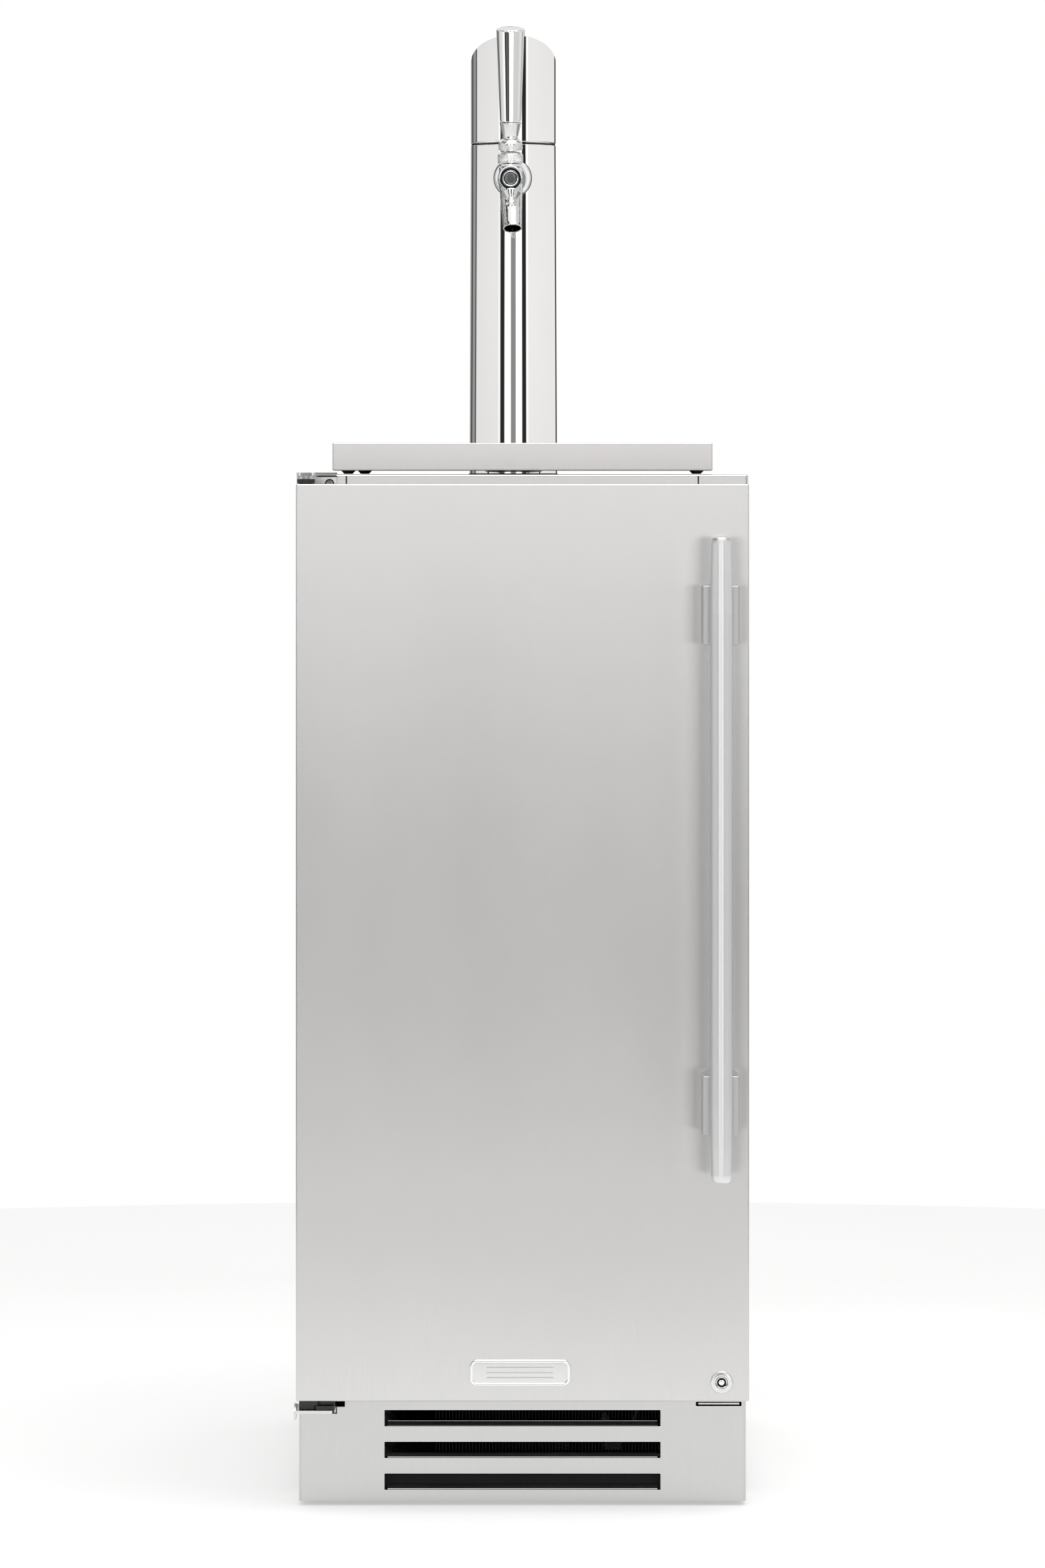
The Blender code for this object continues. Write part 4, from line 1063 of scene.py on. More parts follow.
def build_controls():
    low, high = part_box("control_housing")
    buttons = ("temperature_down_button", "temperature_up_button")
    z = centre_of(buttons[0]).z
    housing = object_from("control_case", new_block(low, high, 0.003, 4))
    wells = [
        new_rod(at((centre_of(name).x, low.y - 0.01, z), "+Y"), 0.0066, 0.022, 48, 0.0)
        for name in buttons
    ]
    window = new_block(
        (-0.058, low.y - 0.01, z - 0.008), (0.012, low.y + 0.0012, z + 0.008), 0.002,
        4, "Y",
    )
    carve(housing, *wells, window)
    finish_piece(housing, "black", "cabinet", "black_plastic", ("control_housing",), bevel=0.0003)
    glass = new_block(
        (-0.0577, low.y + 0.0002, z - 0.0077), (0.0117, low.y + 0.0014, z + 0.0077),
        0.0004, 2,
    )
    piece("display_window", glass, "window", "cabinet", "black_plastic")
    lamp = new_block(
        (-0.06, low.y + 0.012, low.z - 0.0022), (0.06, high.y - 0.01, low.z + 0.001), 0.001, 3,
    )
    piece("lamp_lens", lamp, "lens", "cabinet", "tubing")
    for node_name in buttons:
        b_low, b_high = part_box(node_name)
        depth, place = b_high.y - b_low.y, at((centre_of(node_name).x, b_low.y, z), "+Y")
        profile = [(0.0, 0.0004), (0.0022, 0.0002), (0.0058, 0.0), (0.0058, depth), (0.0, depth)]
        cap = new_turned(profile, place, 48, fillet=0.0006)
        piece(f"{node_name}_cap", cap, "black", node_body(node_name), "black_plastic", (node_name,))


def build_rear():
    low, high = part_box("rear_cover")
    centre = (low + high) / 2
    outline = oval((centre.x, centre.z), high.x - low.x, high.z - low.z, 0.006)
    holes, hoods = [], bmesh.new()
    for row in range(9):
        z = low.z + 0.03 + 0.0225 * row
        for x in (-0.0725, 0.0725):
            holes.append(oval((x, z), 0.115, 0.006, 0.003))
            section = rounded([
                (high.y - 0.0006, z + 0.005), (high.y + 0.0028, z - 0.001),
                (high.y + 0.0022, z - 0.0016), (high.y - 0.0006, z + 0.0036),
            ], 0.0003, 2, closed=True)
            add_plate(hoods, section, [], drawn_yz(x - 0.056), 0.112)
    cover = new_plate(outline, holes, drawn_xz(low.y), high.y - low.y)
    piece("service_cover", cover, "zinc", "cabinet", "zinc_steel", ("rear_cover",), bevel=0.0002)
    piece("service_louvres", hoods, "zinc", "cabinet", "zinc_steel")
    columns, rows = (low.x + 0.008, 0.0, high.x - 0.008), (low.z + 0.01, high.z - 0.01)
    screw_grid("service_screws", columns, high.y, rows, "+Y", 0.004, "bracket")

    low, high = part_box("power_inlet")
    centre = (low + high) / 2
    inlet = object_from("inlet_body", new_block(low, high, 0.0022, 3))
    well = new_block(
        (centre.x - 0.013, high.y - 0.005, centre.z - 0.0095),
        (centre.x + 0.013, high.y + 0.01, centre.z + 0.0095), 0.003, 4, "Y",
    )
    carve(inlet, well)
    finish_piece(inlet, "black", "cabinet", "black_plastic", ("power_inlet",), bevel=0.0003)
    pins = bmesh.new()
    for x, z in ((-0.007, -0.002), (0.0, 0.003), (0.007, -0.002)):
        add_block(
            pins, (centre.x + x - 0.0006, high.y - 0.0052, centre.z + z - 0.002),
            (centre.x + x + 0.0006, high.y - 0.0006, centre.z + z + 0.002), 0.0003, 2,
        )
    piece("inlet_pins", pins, "brass", "cabinet", "brass")


def build_feet():
    for number in range(1, 5):
        node_name = f"levelling_foot_{number}"
        low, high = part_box(node_name)
        centre = (low + high) / 2
        place = at((centre.x, centre.y, 0.0))
        pad = new_turned([
            (0.0, 0.0), (0.0155, 0.0), (0.017, 0.002), (0.017, 0.008), (0.012, 0.011),
            (0.0, 0.0115),
        ], place, 64, fillet=0.0008)
        piece(f"foot_pad_{number}", pad, "rubber", node_body(node_name), "rubber", (node_name,))
        stud = new_thread(at((centre.x, centre.y, 0.0108)), 0.005, high.z - 0.0108)
        piece(f"foot_stud_{number}", stud, "zinc", node_body(node_name), "zinc_steel")


# ------------------------------------------------------------------ door

def build_door():
    low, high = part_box("door_skin")
    wall = 0.0012
    skin = object_from("door_panel", new_block(low, high, 0.0014, 4))
    room = new_block(
        (low.x + wall, low.y + wall, low.z + wall), (high.x - wall, high.y + 0.03, high.z - wall)
    )
    lock = centre_of("lock_housing")
    holes = [
        new_rod(at((HINGE_PIN.x, HINGE_PIN.y, high.z - 0.02)), 0.0064, 0.03, 48, 0.0),
        new_rod(at((HINGE_PIN.x, HINGE_PIN.y, low.z - 0.005)), 0.0042, 0.018, 32, 0.0),
        new_rod(at((lock.x, low.y - 0.02, lock.z), "+Y"), 0.0068, 0.05, 48, 0.0),
        new_block((0.1425, -0.253, low.z - 0.005), (0.1735, -0.2428, low.z + 0.006)),
    ]
    carve(skin, room, *holes)
    finish_piece(skin, "steel", "door", "stainless", ("door_skin",), bevel=0.0002)

    low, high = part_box("door_liner")
    back = -0.2368
    profile = [
        (0.0, low.y), (0.0, back), (0.0492, back), (0.0504, back + 0.0012),
        (0.053, high.y - 0.0028), (0.0556, high.y), (0.06, high.y), (0.0626, high.y - 0.0028),
        (0.0655, -0.2345), (0.068, -0.233),
    ]
    liner = new_frame(
        (low.x, low.z), (high.x, high.z), rounded(profile, 0.0016, 3),
        0.066, 6, True, True,
    )
    piece("inner_door_panel", liner, "liner", "door", "liner_steel", ("door_liner",), sharp=45.0)
    hem = new_frame((low.x, low.z), (high.x, high.z), [
        (0.0, low.y), (0.0, back - 0.0002), (0.04, back - 0.0002), (0.04, low.y),
    ], 0.001, 3)
    piece("door_hem", hem, "liner", "door", "liner_steel", sharp=45.0)

    low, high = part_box("door_gasket")
    depth = high.y - low.y
    profile = rounded([
        (0.0, low.y), (0.0015, low.y + 0.0032), (-0.001, low.y + 0.006), (0.0, high.y - 0.0004),
        (0.0045, high.y), (0.011, high.y), (0.015, high.y - 0.0006), (0.0136, low.y + 0.55 * depth),
        (0.0146, low.y + 0.003), (0.0138, low.y), (0.008, low.y + 0.0004),
    ], 0.0009, 3, closed=True)
    seal = new_frame(
        (low.x + 0.001, low.z + 0.001), (high.x - 0.001, high.z - 0.001), profile,
        0.004, 3,
    )
    piece(
        "door_seal", seal, "gasket", "door", "rubber", ("door_gasket",), sharp=60.0, weighted=False
    )

    build_handle()
    build_badge()
    build_lock()


def build_handle():
    low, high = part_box("handle_bar")
    centre = (low + high) / 2
    radius, length = (high.x - low.x) / 2, high.z - low.z
    taper = [
        (0.0, 0.0), (0.0042, 0.0), (0.0068, 0.0008), (0.0079, 0.0028), (0.0084, 0.006),
        (0.009, 0.03), (radius, 0.064),
    ]
    profile = taper + [(r, length - h) for r, h in reversed(taper)]
    bm = new_turned(profile, at((centre.x, centre.y, low.z)), 128, fillet=0.0012, steps=3)
    piece("pull_handle", bm, "bar", "door", "satin_steel", ("handle_bar",), sharp=60.0)
    for name in ("handle_mount_upper", "handle_mount_lower"):
        m_low, m_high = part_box(name)
        block = object_from(f"{name}_block", new_block(m_low, m_high, 0.0016, 4))
        seat = new_rod(at((centre.x, centre.y, m_low.z - 0.02)), radius + GAP, 0.09, 96, 0.0)
        carve(block, seat)
        # The mounts take the darker copy of the handle steel: painted shade
        finish_piece(block, "mount", "door", "satin_steel", (name,), sharp=40.0)


def build_badge():
    """A plain chrome plate: a raised rim round a satin field with three bars, and no lettering."""
    low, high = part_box("badge")
    centre = (low + high) / 2
    rim = new_frame((low.x, low.z), (high.x, high.z), rounded([
        (0.0, high.y), (0.0, low.y + 0.001), (0.001, low.y), (0.0022, low.y),
        (0.003, low.y + 0.0009), (0.003, high.y),
    ], 0.0004, 3, closed=True), 0.006, 8)
    piece("badge_rim", rim, "chrome", "door", "chrome", ("badge",), sharp=50.0)
    field = new_block(
        (low.x + 0.0026, low.y + 0.0012, low.z + 0.0026),
        (high.x - 0.0026, high.y, high.z - 0.0026), 0.0006, 2,
    )
    for row in range(3):
        z = centre.z + (row - 1) * 0.0042
        add_block(
            field, (low.x + 0.014, low.y + 0.0004, z - 0.0008),
            (high.x - 0.014, low.y + 0.002, z + 0.0008), 0.0004, 2,
        )
    piece("badge_field", field, "satin", "door", "chrome")


def build_lock():
    low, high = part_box("lock_housing")
    centre = (low + high) / 2
    place = at((centre.x, low.y, centre.z), "+Y")
    bezel = new_turned([
        (0.0095, 0.0014), (0.0088, 0.0002), (0.006, 0.0), (0.005, 0.0004), (0.005, 0.0325),
        (0.0065, 0.0325), (0.0065, 0.0014),
    ], place, 96, ring=True, fillet=0.0004)
    piece("lock_bezel", bezel, "satin", "door", "chrome", ("lock_housing",))
    barrel = object_from("lock_core", new_turned([
        (0.0, 0.0006), (0.0036, 0.0006), (0.0047, 0.0002), (0.0047, 0.036), (0.0, 0.036),
    ], place, 64, fillet=0.0002))
    cam = new_plate(
        oval((centre.x - 0.0095, centre.z), 0.024, 0.008, 0.004), [],
        drawn_xz(-0.2505), 0.0022,
    )
    boolean(barrel, "UNION", cam)
    recess = new_turned(
        [(0.004, -0.01), (0.004, 0.0022), (0.0022, 0.0022), (0.0022, -0.01)],
        place, 48, ring=True,
    )
    carve(barrel, recess)
    finish_piece(barrel, "chrome", node_body("lock_barrel"), "chrome", ("lock_barrel",), sharp=30.0)
    socket = new_pipe(
        at((centre.x, low.y + 0.001, centre.z), "+Y"), 0.0039, 0.0024, 0.0006, 48, 0.0
    )
    piece("lock_shadow_ring", socket, "black_matt", node_body("lock_barrel"), "chrome")
    key = new_block((-0.0016, -0.0009, -0.0016), (0.0016, 0.0012, 0.0016), 0.0004, 2)
    key.transform(at((centre.x, low.y + 0.0008, centre.z)) @ Matrix.Rotation(math.pi / 4, 4, "Y"))
    piece("lock_key_square", key, "chrome", node_body("lock_barrel"), "chrome")


# ------------------------------------------------------------------ tower and tap

def build_tower():
    low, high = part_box("tower_column")
    cap_low, cap_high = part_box("tower_cap")
    centre = (low + high) / 2
    foot, neck = (high.x - low.x) / 2, (cap_high.x - cap_low.x) / 2
    inner = neck - SHEET
    place = at((centre.x, centre.y, low.z))
    length = high.z - low.z
    bm = new_turned([
        (foot, 0.0), (neck, length - 0.0012), (neck - 0.0006, length - 0.0006),
        (inner, length - 0.0006), (inner, 0.0),
    ], place, 192, ring=True)
    column = object_from("column_tube", bm)
    shank = centre_of("tap_shank")
    carve(column, new_rod(at((shank.x, -0.06, shank.z), "+Y"), 0.0115, 0.05, 48, 0.0))
    finish_piece(column, "polished", "cabinet", "polished_steel", ("tower_column",), sharp=40.0)
    seam = new_pipe(
        at((centre.x, centre.y, high.z - 0.0008)), neck - 0.0004, inner + 0.0002,
        0.0012, 128, 0.0,
    )
    piece("seam_shadow_ring", seam, "black_matt", "cabinet", "rubber")

    base = Vector((centre.x, centre.y, high.z + 2 * GAP))
    slope = math.tan(TOWER_CAP_SLOPE)
    middle = cap_high.z - neck * slope - base.z
    part = new_turned([
        (0.0, -0.012), (inner - GAP, -0.012), (inner - GAP, 0.0), (neck - 0.0011, 0.0),
        (neck - 0.0005, 0.0003), (neck - 0.0001, 0.0009), (neck, 0.0015), (neck, middle - 0.0007),
        (neck - 0.0006, middle), (0.0, middle),
    ], Matrix.Identity(4), 192)
    for vertex in part.verts:
        if vertex.co.z > 0.5 * middle:
            vertex.co.z -= slope * vertex.co.y
    part.transform(Matrix.Translation(base))
    piece("column_cap", part, "polished", "cabinet", "polished_steel", ("tower_cap",), sharp=30.0)
    ring = new_pipe(
        at((centre.x, centre.y, low.z - GAP)), foot + 0.0006, foot - 0.004, 0.0008,
        128, 0.0002,
    )
    piece("column_seal", ring, "rubber", "cabinet", "rubber")


def build_tap():
    low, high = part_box("tap_flange")
    centre = (low + high) / 2
    column = centre_of("tower_column")
    cap_low, cap_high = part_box("tower_cap")
    neck = (cap_high.x - cap_low.x) / 2
    shank_low, shank_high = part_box("tap_shank")
    shank_x, shank_z = centre_of("tap_shank").x, centre_of("tap_shank").z

    flange = object_from("tap_escutcheon", new_turned([
        (0.0, 0.0), (0.012, 0.0), (0.0152, 0.0004), (0.0163, 0.0012), (0.0167, 0.0026),
        (0.0167, 0.014), (0.0, 0.014),
    ], at((centre.x, low.y, centre.z), "+Y"), 128, fillet=0.0006))
    saddle = new_rod(at((column.x, column.y, 1.06)), neck + 2 * GAP, 0.12, 192, 0.0)
    bore = new_rod(at((shank_x, -0.07, shank_z), "+Y"), 0.0114, 0.05, 64, 0.0)
    carve(flange, saddle, bore)
    finish_piece(flange, "flange", "cabinet", "chrome", ("tap_flange",), sharp=40.0)
    # A thin black ring on the escutcheon's rounded front edge: painted shade along its rim
    edge = wire_ring(
        bmesh.new(), at((centre.x, low.y + 0.0014, centre.z), "+Y"), 0.0164, 0.0003, 128
    )
    piece("escutcheon_edge_painted_shade", edge, "black_matt", "cabinet", "rubber")

    shank = object_from("tap_stud", new_pipe(
        at((shank_x, shank_low.y, shank_z), "+Y"), 0.011, 0.0035,
        shank_high.y - shank_low.y, 64,
    ))
    finish_piece(shank, "chrome", "cabinet", "chrome", ("tap_shank",))
    nut_low, nut_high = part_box("tap_nut")
    nut_x, outer = (nut_low.x + nut_high.x) / 2, (nut_high.x - nut_low.x) / 2
    depth = nut_high.y - nut_low.y
    nut = new_turned([
        (outer - 0.0013, 0.0), (outer - 0.0013, depth), (0.012, depth), (0.012, 0.0),
    ], at((nut_x, nut_low.y, shank_z), "+Y"), 96, ring=True, fillet=0.0004)
    piece("tap_coupling", nut, "cast", "cabinet", "chrome", ("tap_nut",))
    build_faucet(shank_z)
    build_lever()


def build_faucet(shank_z):
    """The cast body is joined and bored, remeshed fine and smoothed, so its parts flow together."""
    tap_x, pivot_y = centre_of("faucet_bonnet").xy
    bonnet_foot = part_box("faucet_bonnet")[0].z
    spout_place = at((tap_x, -0.0905, shank_z)) @ Matrix.Rotation(SPOUT_ROLL, 4, "Y")
    spout_place @= Matrix.Rotation(math.pi - SPOUT_LEAN, 4, "X")
    body = object_from(
        "faucet_casting",
        new_rod(at((tap_x, -0.1055, shank_z), "+Y"), 0.0103, 0.0452, 96, 0.001),
    )
    neck = new_turned([
        (0.0, 0.0), (0.0101, 0.0), (0.0101, 0.0093), (0.0093, 0.0097), (0.0093, 0.0124),
        (0.0, 0.0124),
    ], at((tap_x, pivot_y, shank_z)), 72)
    spout = new_turned([
        (0.0, 0.0), (0.0102, 0.0), (0.0102, 0.008), (0.0092, 0.024), (0.0081, 0.0462),
        (0.0083, 0.0478), (0.0082, 0.049), (0.0, 0.049),
    ], spout_place, 72)
    boolean(body, "UNION", neck, spout)
    chamber = new_rod(at((tap_x, -0.1025, shank_z), "+Y"), 0.0062, 0.06, 64, 0.0)
    throat = new_rod(spout_place @ raised(0.003), 0.007, 0.06, 64, 0.0)
    well = new_rod(at((tap_x, pivot_y, shank_z + 0.0025)), 0.0076, 0.02, 48, 0.0)
    slot = new_block((tap_x - 0.0035, pivot_y, 1.1235), (tap_x + 0.0035, pivot_y + 0.0125, 1.1305))
    carve(body, chamber, throat, well, slot)
    remesh = body.modifiers.new("even skin", "REMESH")
    remesh.mode = "VOXEL"
    remesh.voxel_size = 0.00042
    smooth = body.modifiers.new("eased joints", "SMOOTH")
    smooth.factor = 0.5
    smooth.iterations = 8
    settle(body)
    finish_piece(body, "cast", "cabinet", "chrome", ("faucet_body",), sharp=70.0, weighted=False)

    cap_y, cap_z = -0.1078, shank_z - 0.001
    front = new_turned([
        (0.0, 0.001), (0.0056, 0.001), (0.0059, 0.0003), (0.0066, 0.0), (0.0074, 0.0003),
        (0.0079, 0.0012), (0.0086, 0.0013), (0.0089, 0.002), (0.0089, 0.006), (0.0, 0.006),
    ], at((tap_x, cap_y, cap_z), "+Y"), 96, fillet=0.0003)
    # The front cap and its disc take the darkened chrome: a painted dark reflection
    piece("faucet_front_cap", front, "dark_reflection_chrome", "cabinet", "chrome", sharp=50.0)
    rim = wire_ring(bmesh.new(), at((tap_x, cap_y + 0.0002, cap_z), "+Y"), 0.0061, 0.00045, 96)
    piece("faucet_cap_rim", rim, "chrome", "cabinet", "chrome")
    # Two black rings in the cap's grooves: painted shade in the grooves
    grooves = bmesh.new()
    for radius, wire, depth in ((0.0086, 0.00055, 0.0012), (0.0055, 0.0003, 0.0004)):
        wire_ring(grooves, at((tap_x, cap_y + depth, cap_z), "+Y"), radius, wire, 96)
    piece("faucet_cap_groove_painted_shade", grooves, "black_matt", "cabinet", "rubber")
    disc = new_turned(
        [(0.0, -0.0001), (0.004, 0.0), (0.0054, 0.0003), (0.0054, 0.0012), (0.0, 0.0012)],
        at((tap_x, cap_y + 0.0003, cap_z), "+Y"), 64, fillet=0.0003,
    )
    piece("faucet_cap_disc", disc, "dark_reflection_chrome", "cabinet", "chrome")

    vent_place = at((tap_x + 0.0006, -0.105, shank_z - 0.0126))
    vent_place @= Matrix.Rotation(math.pi - VENT_LEAN, 4, "X")
    vent = new_turned([
        (0.0, 0.0), (0.0081, 0.0), (0.008, 0.0012), (0.0047, 0.0072), (0.0038, 0.0077),
        (0.0036, 0.0096), (0.005, 0.01), (0.005, 0.0119), (0.0042, 0.0124), (0.004, 0.0134),
        (0.0, 0.0134),
    ], vent_place, 64, fillet=0.0003)
    piece("faucet_vent", vent, "cast", "cabinet", "chrome", sharp=50.0)

    place = at((tap_x, pivot_y, bonnet_foot))
    bonnet = new_turned([
        (0.0077, 0.0), (0.0106, 0.0), (0.0106, 0.0006), (0.0099, 0.0008), (0.0099, 0.0066),
        (0.0109, 0.0068), (0.0108, 0.0074), (0.0101, 0.0086), (0.0087, 0.0102), (0.0077, 0.0102),
    ], place, 96, ring=True, fillet=0.0006)
    piece("bonnet_ring", bonnet, "chrome", "cabinet", "chrome", ("faucet_bonnet",), sharp=50.0)
    knurl = object_from("bonnet_knurl", new_knurl(place, 0.01105, 0.0006, 0.0069))
    carve(knurl, new_rod(at((tap_x, pivot_y, bonnet_foot - 0.01)), 0.0098, 0.03, 64, 0.0))
    finish_piece(knurl, "knurl", "cabinet", "chrome", weighted=False, sharp=25.0)


def build_lever():
    """Lever, collar and handle are drawn upright on the pivot, then leaned forward with it."""
    lean = at((centre_of("faucet_bonnet").x, -0.085, 1.138)) @ Matrix.Rotation(LEVER_LEAN, 4, "X")
    ball = [(0.0055 * math.sin(a), -0.0055 * math.cos(a)) for a in (0.3 + 0.2 * i for i in range(13))]
    stem = new_turned([
        (0.0, -0.0165), (0.0016, -0.0165), (0.0016, -0.0052), *ball, (0.0024, 0.0056),
        (0.0024, 0.0178), (0.0066, 0.0181), (0.007, 0.019), (0.0069, 0.0205), (0.0074, 0.0225),
        (0.0094, 0.0318), (0.009, 0.0328), (0.0, 0.0328),
    ], lean, 96, fillet=0.0004)
    body = node_body("tap_lever")
    piece("tap_lever_stem", stem, "cast", body, "chrome", ("tap_lever",), sharp=50.0)

    collar = new_turned([
        (0.0093, 0.0081), (0.01, 0.0081), (0.01, 0.0138), (0.0103, 0.0141), (0.01, 0.0152),
        (0.0086, 0.0168), (0.0071, 0.0179), (0.0028, 0.018), (0.0028, 0.0111), (0.0093, 0.0111),
    ], lean, 96, ring=True, fillet=0.0006)
    piece("lever_ring", collar, "chrome", body, "chrome", ("lever_collar",), sharp=50.0)
    band = object_from("lever_ring_knurl", new_knurl(lean, 0.0105, 0.0083, 0.0139))
    carve(band, new_rod(lean, 0.0099, 0.03, 64, 0.0))
    finish_piece(band, "knurl", body, "chrome", weighted=False, sharp=25.0)

    handle = new_turned([
        (0.0, 0.0331), (0.0088, 0.0331), (0.0092, 0.0336), (0.0106, 0.072), (0.0121, 0.1114),
        (0.0119, 0.1122), (0.0112, 0.1127), (0.008, 0.1139), (0.004, 0.1146), (0.0, 0.1148),
    ], lean, 128, fillet=0.0004)
    piece("tap_grip", handle, "chrome", body, "chrome", ("tap_handle",), sharp=50.0)


# ------------------------------------------------------------------ drip tray

def build_tray():
    low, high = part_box("drip_tray")
    floor = 0.8698
    tray = object_from("tray_pan", new_block((low.x, low.y, floor), high, 0.0012, 3))
    basin = new_block(
        (low.x + SHEET, low.y + SHEET, floor + SHEET),
        (high.x - SHEET, high.y - SHEET, high.z + 0.05), 0.0018, 3,
    )
    carve(tray, basin)
    finish_piece(tray, "tray", "tray", "stainless", ("drip_tray",), bevel=0.0004, top="steel_flat")
    feet = bmesh.new()
    for x, y in ((-0.147, -0.205), (0.147, -0.205), (-0.136, -0.07), (0.15, -0.07)):
        add_turned(
            feet, [(0.0, 0.0), (0.0036, 0.0), (0.006, 0.0026), (0.006, 0.003), (0.0, 0.003)],
            at((x, y, low.z)), 40, fillet=0.0004,
        )
    piece("tray_feet", feet, "rubber", "tray", "rubber")

    low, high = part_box("drip_grate")
    thickness = 0.0015
    outline = oval(
        ((low.x + high.x) / 2, (low.y + high.y) / 2), high.x - low.x, high.y - low.y, 0.002
    )
    holes = []
    for row in range(11):
        y = low.y + 0.0165 + 0.0138 * row
        holes += [oval((x, y), 0.084, 0.0062, 0.0031) for x in (-0.0975, 0.0, 0.0975)]
    grate = new_plate(outline, holes, raised(high.z - thickness), thickness)
    skirt = 0.0012
    for start, end in (
        ((low.x, low.y), (high.x, low.y + skirt)), ((low.x, high.y - skirt), (high.x, high.y)),
        ((low.x, low.y), (low.x + skirt, high.y)), ((high.x - skirt, low.y), (high.x, high.y)),
    ):
        add_block(grate, (*start, low.z), (*end, high.z - 0.0008))
    piece("tray_grate", grate, "steel_flat", "grate", "stainless", ("drip_grate",), bevel=0.0002)


# ------------------------------------------------------------------ draught kit inside

def build_gas():
    low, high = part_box("co2_cylinder")
    x, y = (low.x + high.x) / 2, 0.165
    place = at((x, y, low.z))
    shoulder = [
        (0.0665 * math.cos(a) ** 0.75, 0.235 + 0.056 * math.sin(a))
        for a in (0.16 * i for i in range(1, 9))
    ]
    bottle = new_turned([
        (0.0, 0.004), (0.04, 0.004), (0.052, 0.0), (0.06, 0.0), (0.0665, 0.01), (0.0665, 0.235),
        *shoulder,
        (0.0155, 0.2925), (0.0155, 0.3), (0.0, 0.3),
    ], place, 128, fillet=0.002, steps=3)
    piece("gas_bottle", bottle, "aluminium", "cabinet", "aluminium", ("co2_cylinder",), sharp=50.0)
    valve = new_turned([
        (0.0, 0.298), (0.014, 0.298), (0.014, 0.322), (0.011, 0.323), (0.011, 0.35), (0.0, 0.35),
    ], place, 6)
    add_rod(valve, at((x, y, low.z + 0.349)), 0.004, 0.0075, 24)
    add_rod(valve, at((x, y, REGULATOR_HEIGHT), "-Y"), 0.008, 0.0238, 40)
    piece("bottle_valve", valve, "brass", "cabinet", "brass", bevel=0.0004)

    wheel_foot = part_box("co2_handwheel")[0].z
    wheel = new_turned([
        (0.0, 0.001), (0.01, 0.0), (0.019, 0.002), (0.0225, 0.002), (0.0225, 0.009),
        (0.019, 0.0095), (0.01, 0.011), (0.0, 0.0105),
    ], at((x, y, wheel_foot)), 64, fillet=0.0012)
    for lobe in range(8):
        a = 2 * math.pi * lobe / 8
        spot = (x + 0.0198 * math.cos(a), y + 0.0198 * math.sin(a), wheel_foot + 0.0005)
        add_rod(wheel, at(spot), 0.0042, 0.01, 24, 0.0015)
    piece(
        "valve_handwheel", wheel, "black", node_body("co2_handwheel"), "black_plastic",
        ("co2_handwheel",),
    )
    build_regulator(x, y)


def build_regulator(x, y):
    z = REGULATOR_HEIGHT
    body = bmesh.new()
    add_turned(
        body, [(0.0, 0.0), (0.012, 0.0), (0.012, 0.016), (0.0, 0.016)],
        at((x, y - 0.0243, z), "-Y"), 6,
    )
    add_turned(body, [
        (0.0, 0.0), (0.02, 0.0), (0.0238, 0.003), (0.0238, 0.008), (0.022, 0.009), (0.02, 0.018),
        (0.015, 0.022), (0.0, 0.022),
    ], at((x, y - 0.038, z), "-Y"), 72, fillet=0.0012)
    for side in (-1, 1):
        start = Vector((x + side * 0.018, y - 0.051, 0.635))
        add_tube(body, [start, start + Vector((side * 0.014, 0, 0))], 0.0042, 24)
    add_turned(body, [
        (0.0, 0.0), (0.003, 0.0), (0.0046, 0.003), (0.0036, 0.0045), (0.0046, 0.0075),
        (0.0036, 0.009), (0.0036, 0.018), (0.0, 0.018),
    ], at((x, y - 0.049, 0.596)), 32)
    piece("regulator_body", body, "brass", "cabinet", "brass", ("regulator",), bevel=0.0003)
    cases, faces, needles = bmesh.new(), bmesh.new(), bmesh.new()
    for side in (-1, 1):
        middle = Vector((x + side * 0.047, y - 0.043, 0.636))
        place = at(middle, "-Y")
        add_turned(cases, [
            (0.0, 0.0), (0.018, 0.0), (0.02, 0.002), (0.02, 0.019), (0.0186, 0.02), (0.0176, 0.019),
            (0.0176, 0.015), (0.0, 0.015),
        ], place, 72, fillet=0.0005)
        add_rod(faces, place @ raised(0.0149), 0.0174, 0.0006, 64, 0.0001)
        for tick in range(25):
            a = math.radians(-135 + 270 * tick / 24)
            long = 0.003 if tick % 6 == 0 else 0.0016
            mark = new_block((-0.0002, 0.0158 - long, 0.0), (0.0002, 0.0158, 0.00012))
            mark.transform(place @ raised(0.0155) @ Matrix.Rotation(a, 4, "Z"))
            merge(needles, mark)
        needle = new_block((-0.0004, -0.004, 0.0), (0.0004, 0.0118, 0.0004))
        needle.transform(place @ raised(0.016) @ Matrix.Rotation(1.9 + 0.8 * side, 4, "Z"))
        merge(needles, needle)
        add_rod(needles, place @ raised(0.0155), 0.0016, 0.0012, 24, 0.0002)
    piece("gauge_cases", cases, "chrome", "cabinet", "brass")
    piece("gauge_faces", faces, "dial", "cabinet", "brass")
    piece("gauge_marks", needles, "black", "cabinet", "black_plastic", weighted=False)

    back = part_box("regulator_knob")[1].y
    knob = new_turned([
        (0.0, 0.0), (0.0128, 0.0), (0.0128, 0.0155), (0.0112, 0.018), (0.0, 0.0188),
    ], at((x, back, z), "-Y"), 64, fillet=0.0008)
    for rib in range(20):
        a = 2 * math.pi * rib / 20
        spot = (x + 0.0126 * math.cos(a), back, z + 0.0126 * math.sin(a))
        add_rod(knob, at(spot, "-Y"), 0.0012, 0.0158, 12, 0.0005)
    piece(
        "regulator_dial_knob", knob, "black", node_body("regulator_knob"), "black_plastic",
        ("regulator_knob",),
    )


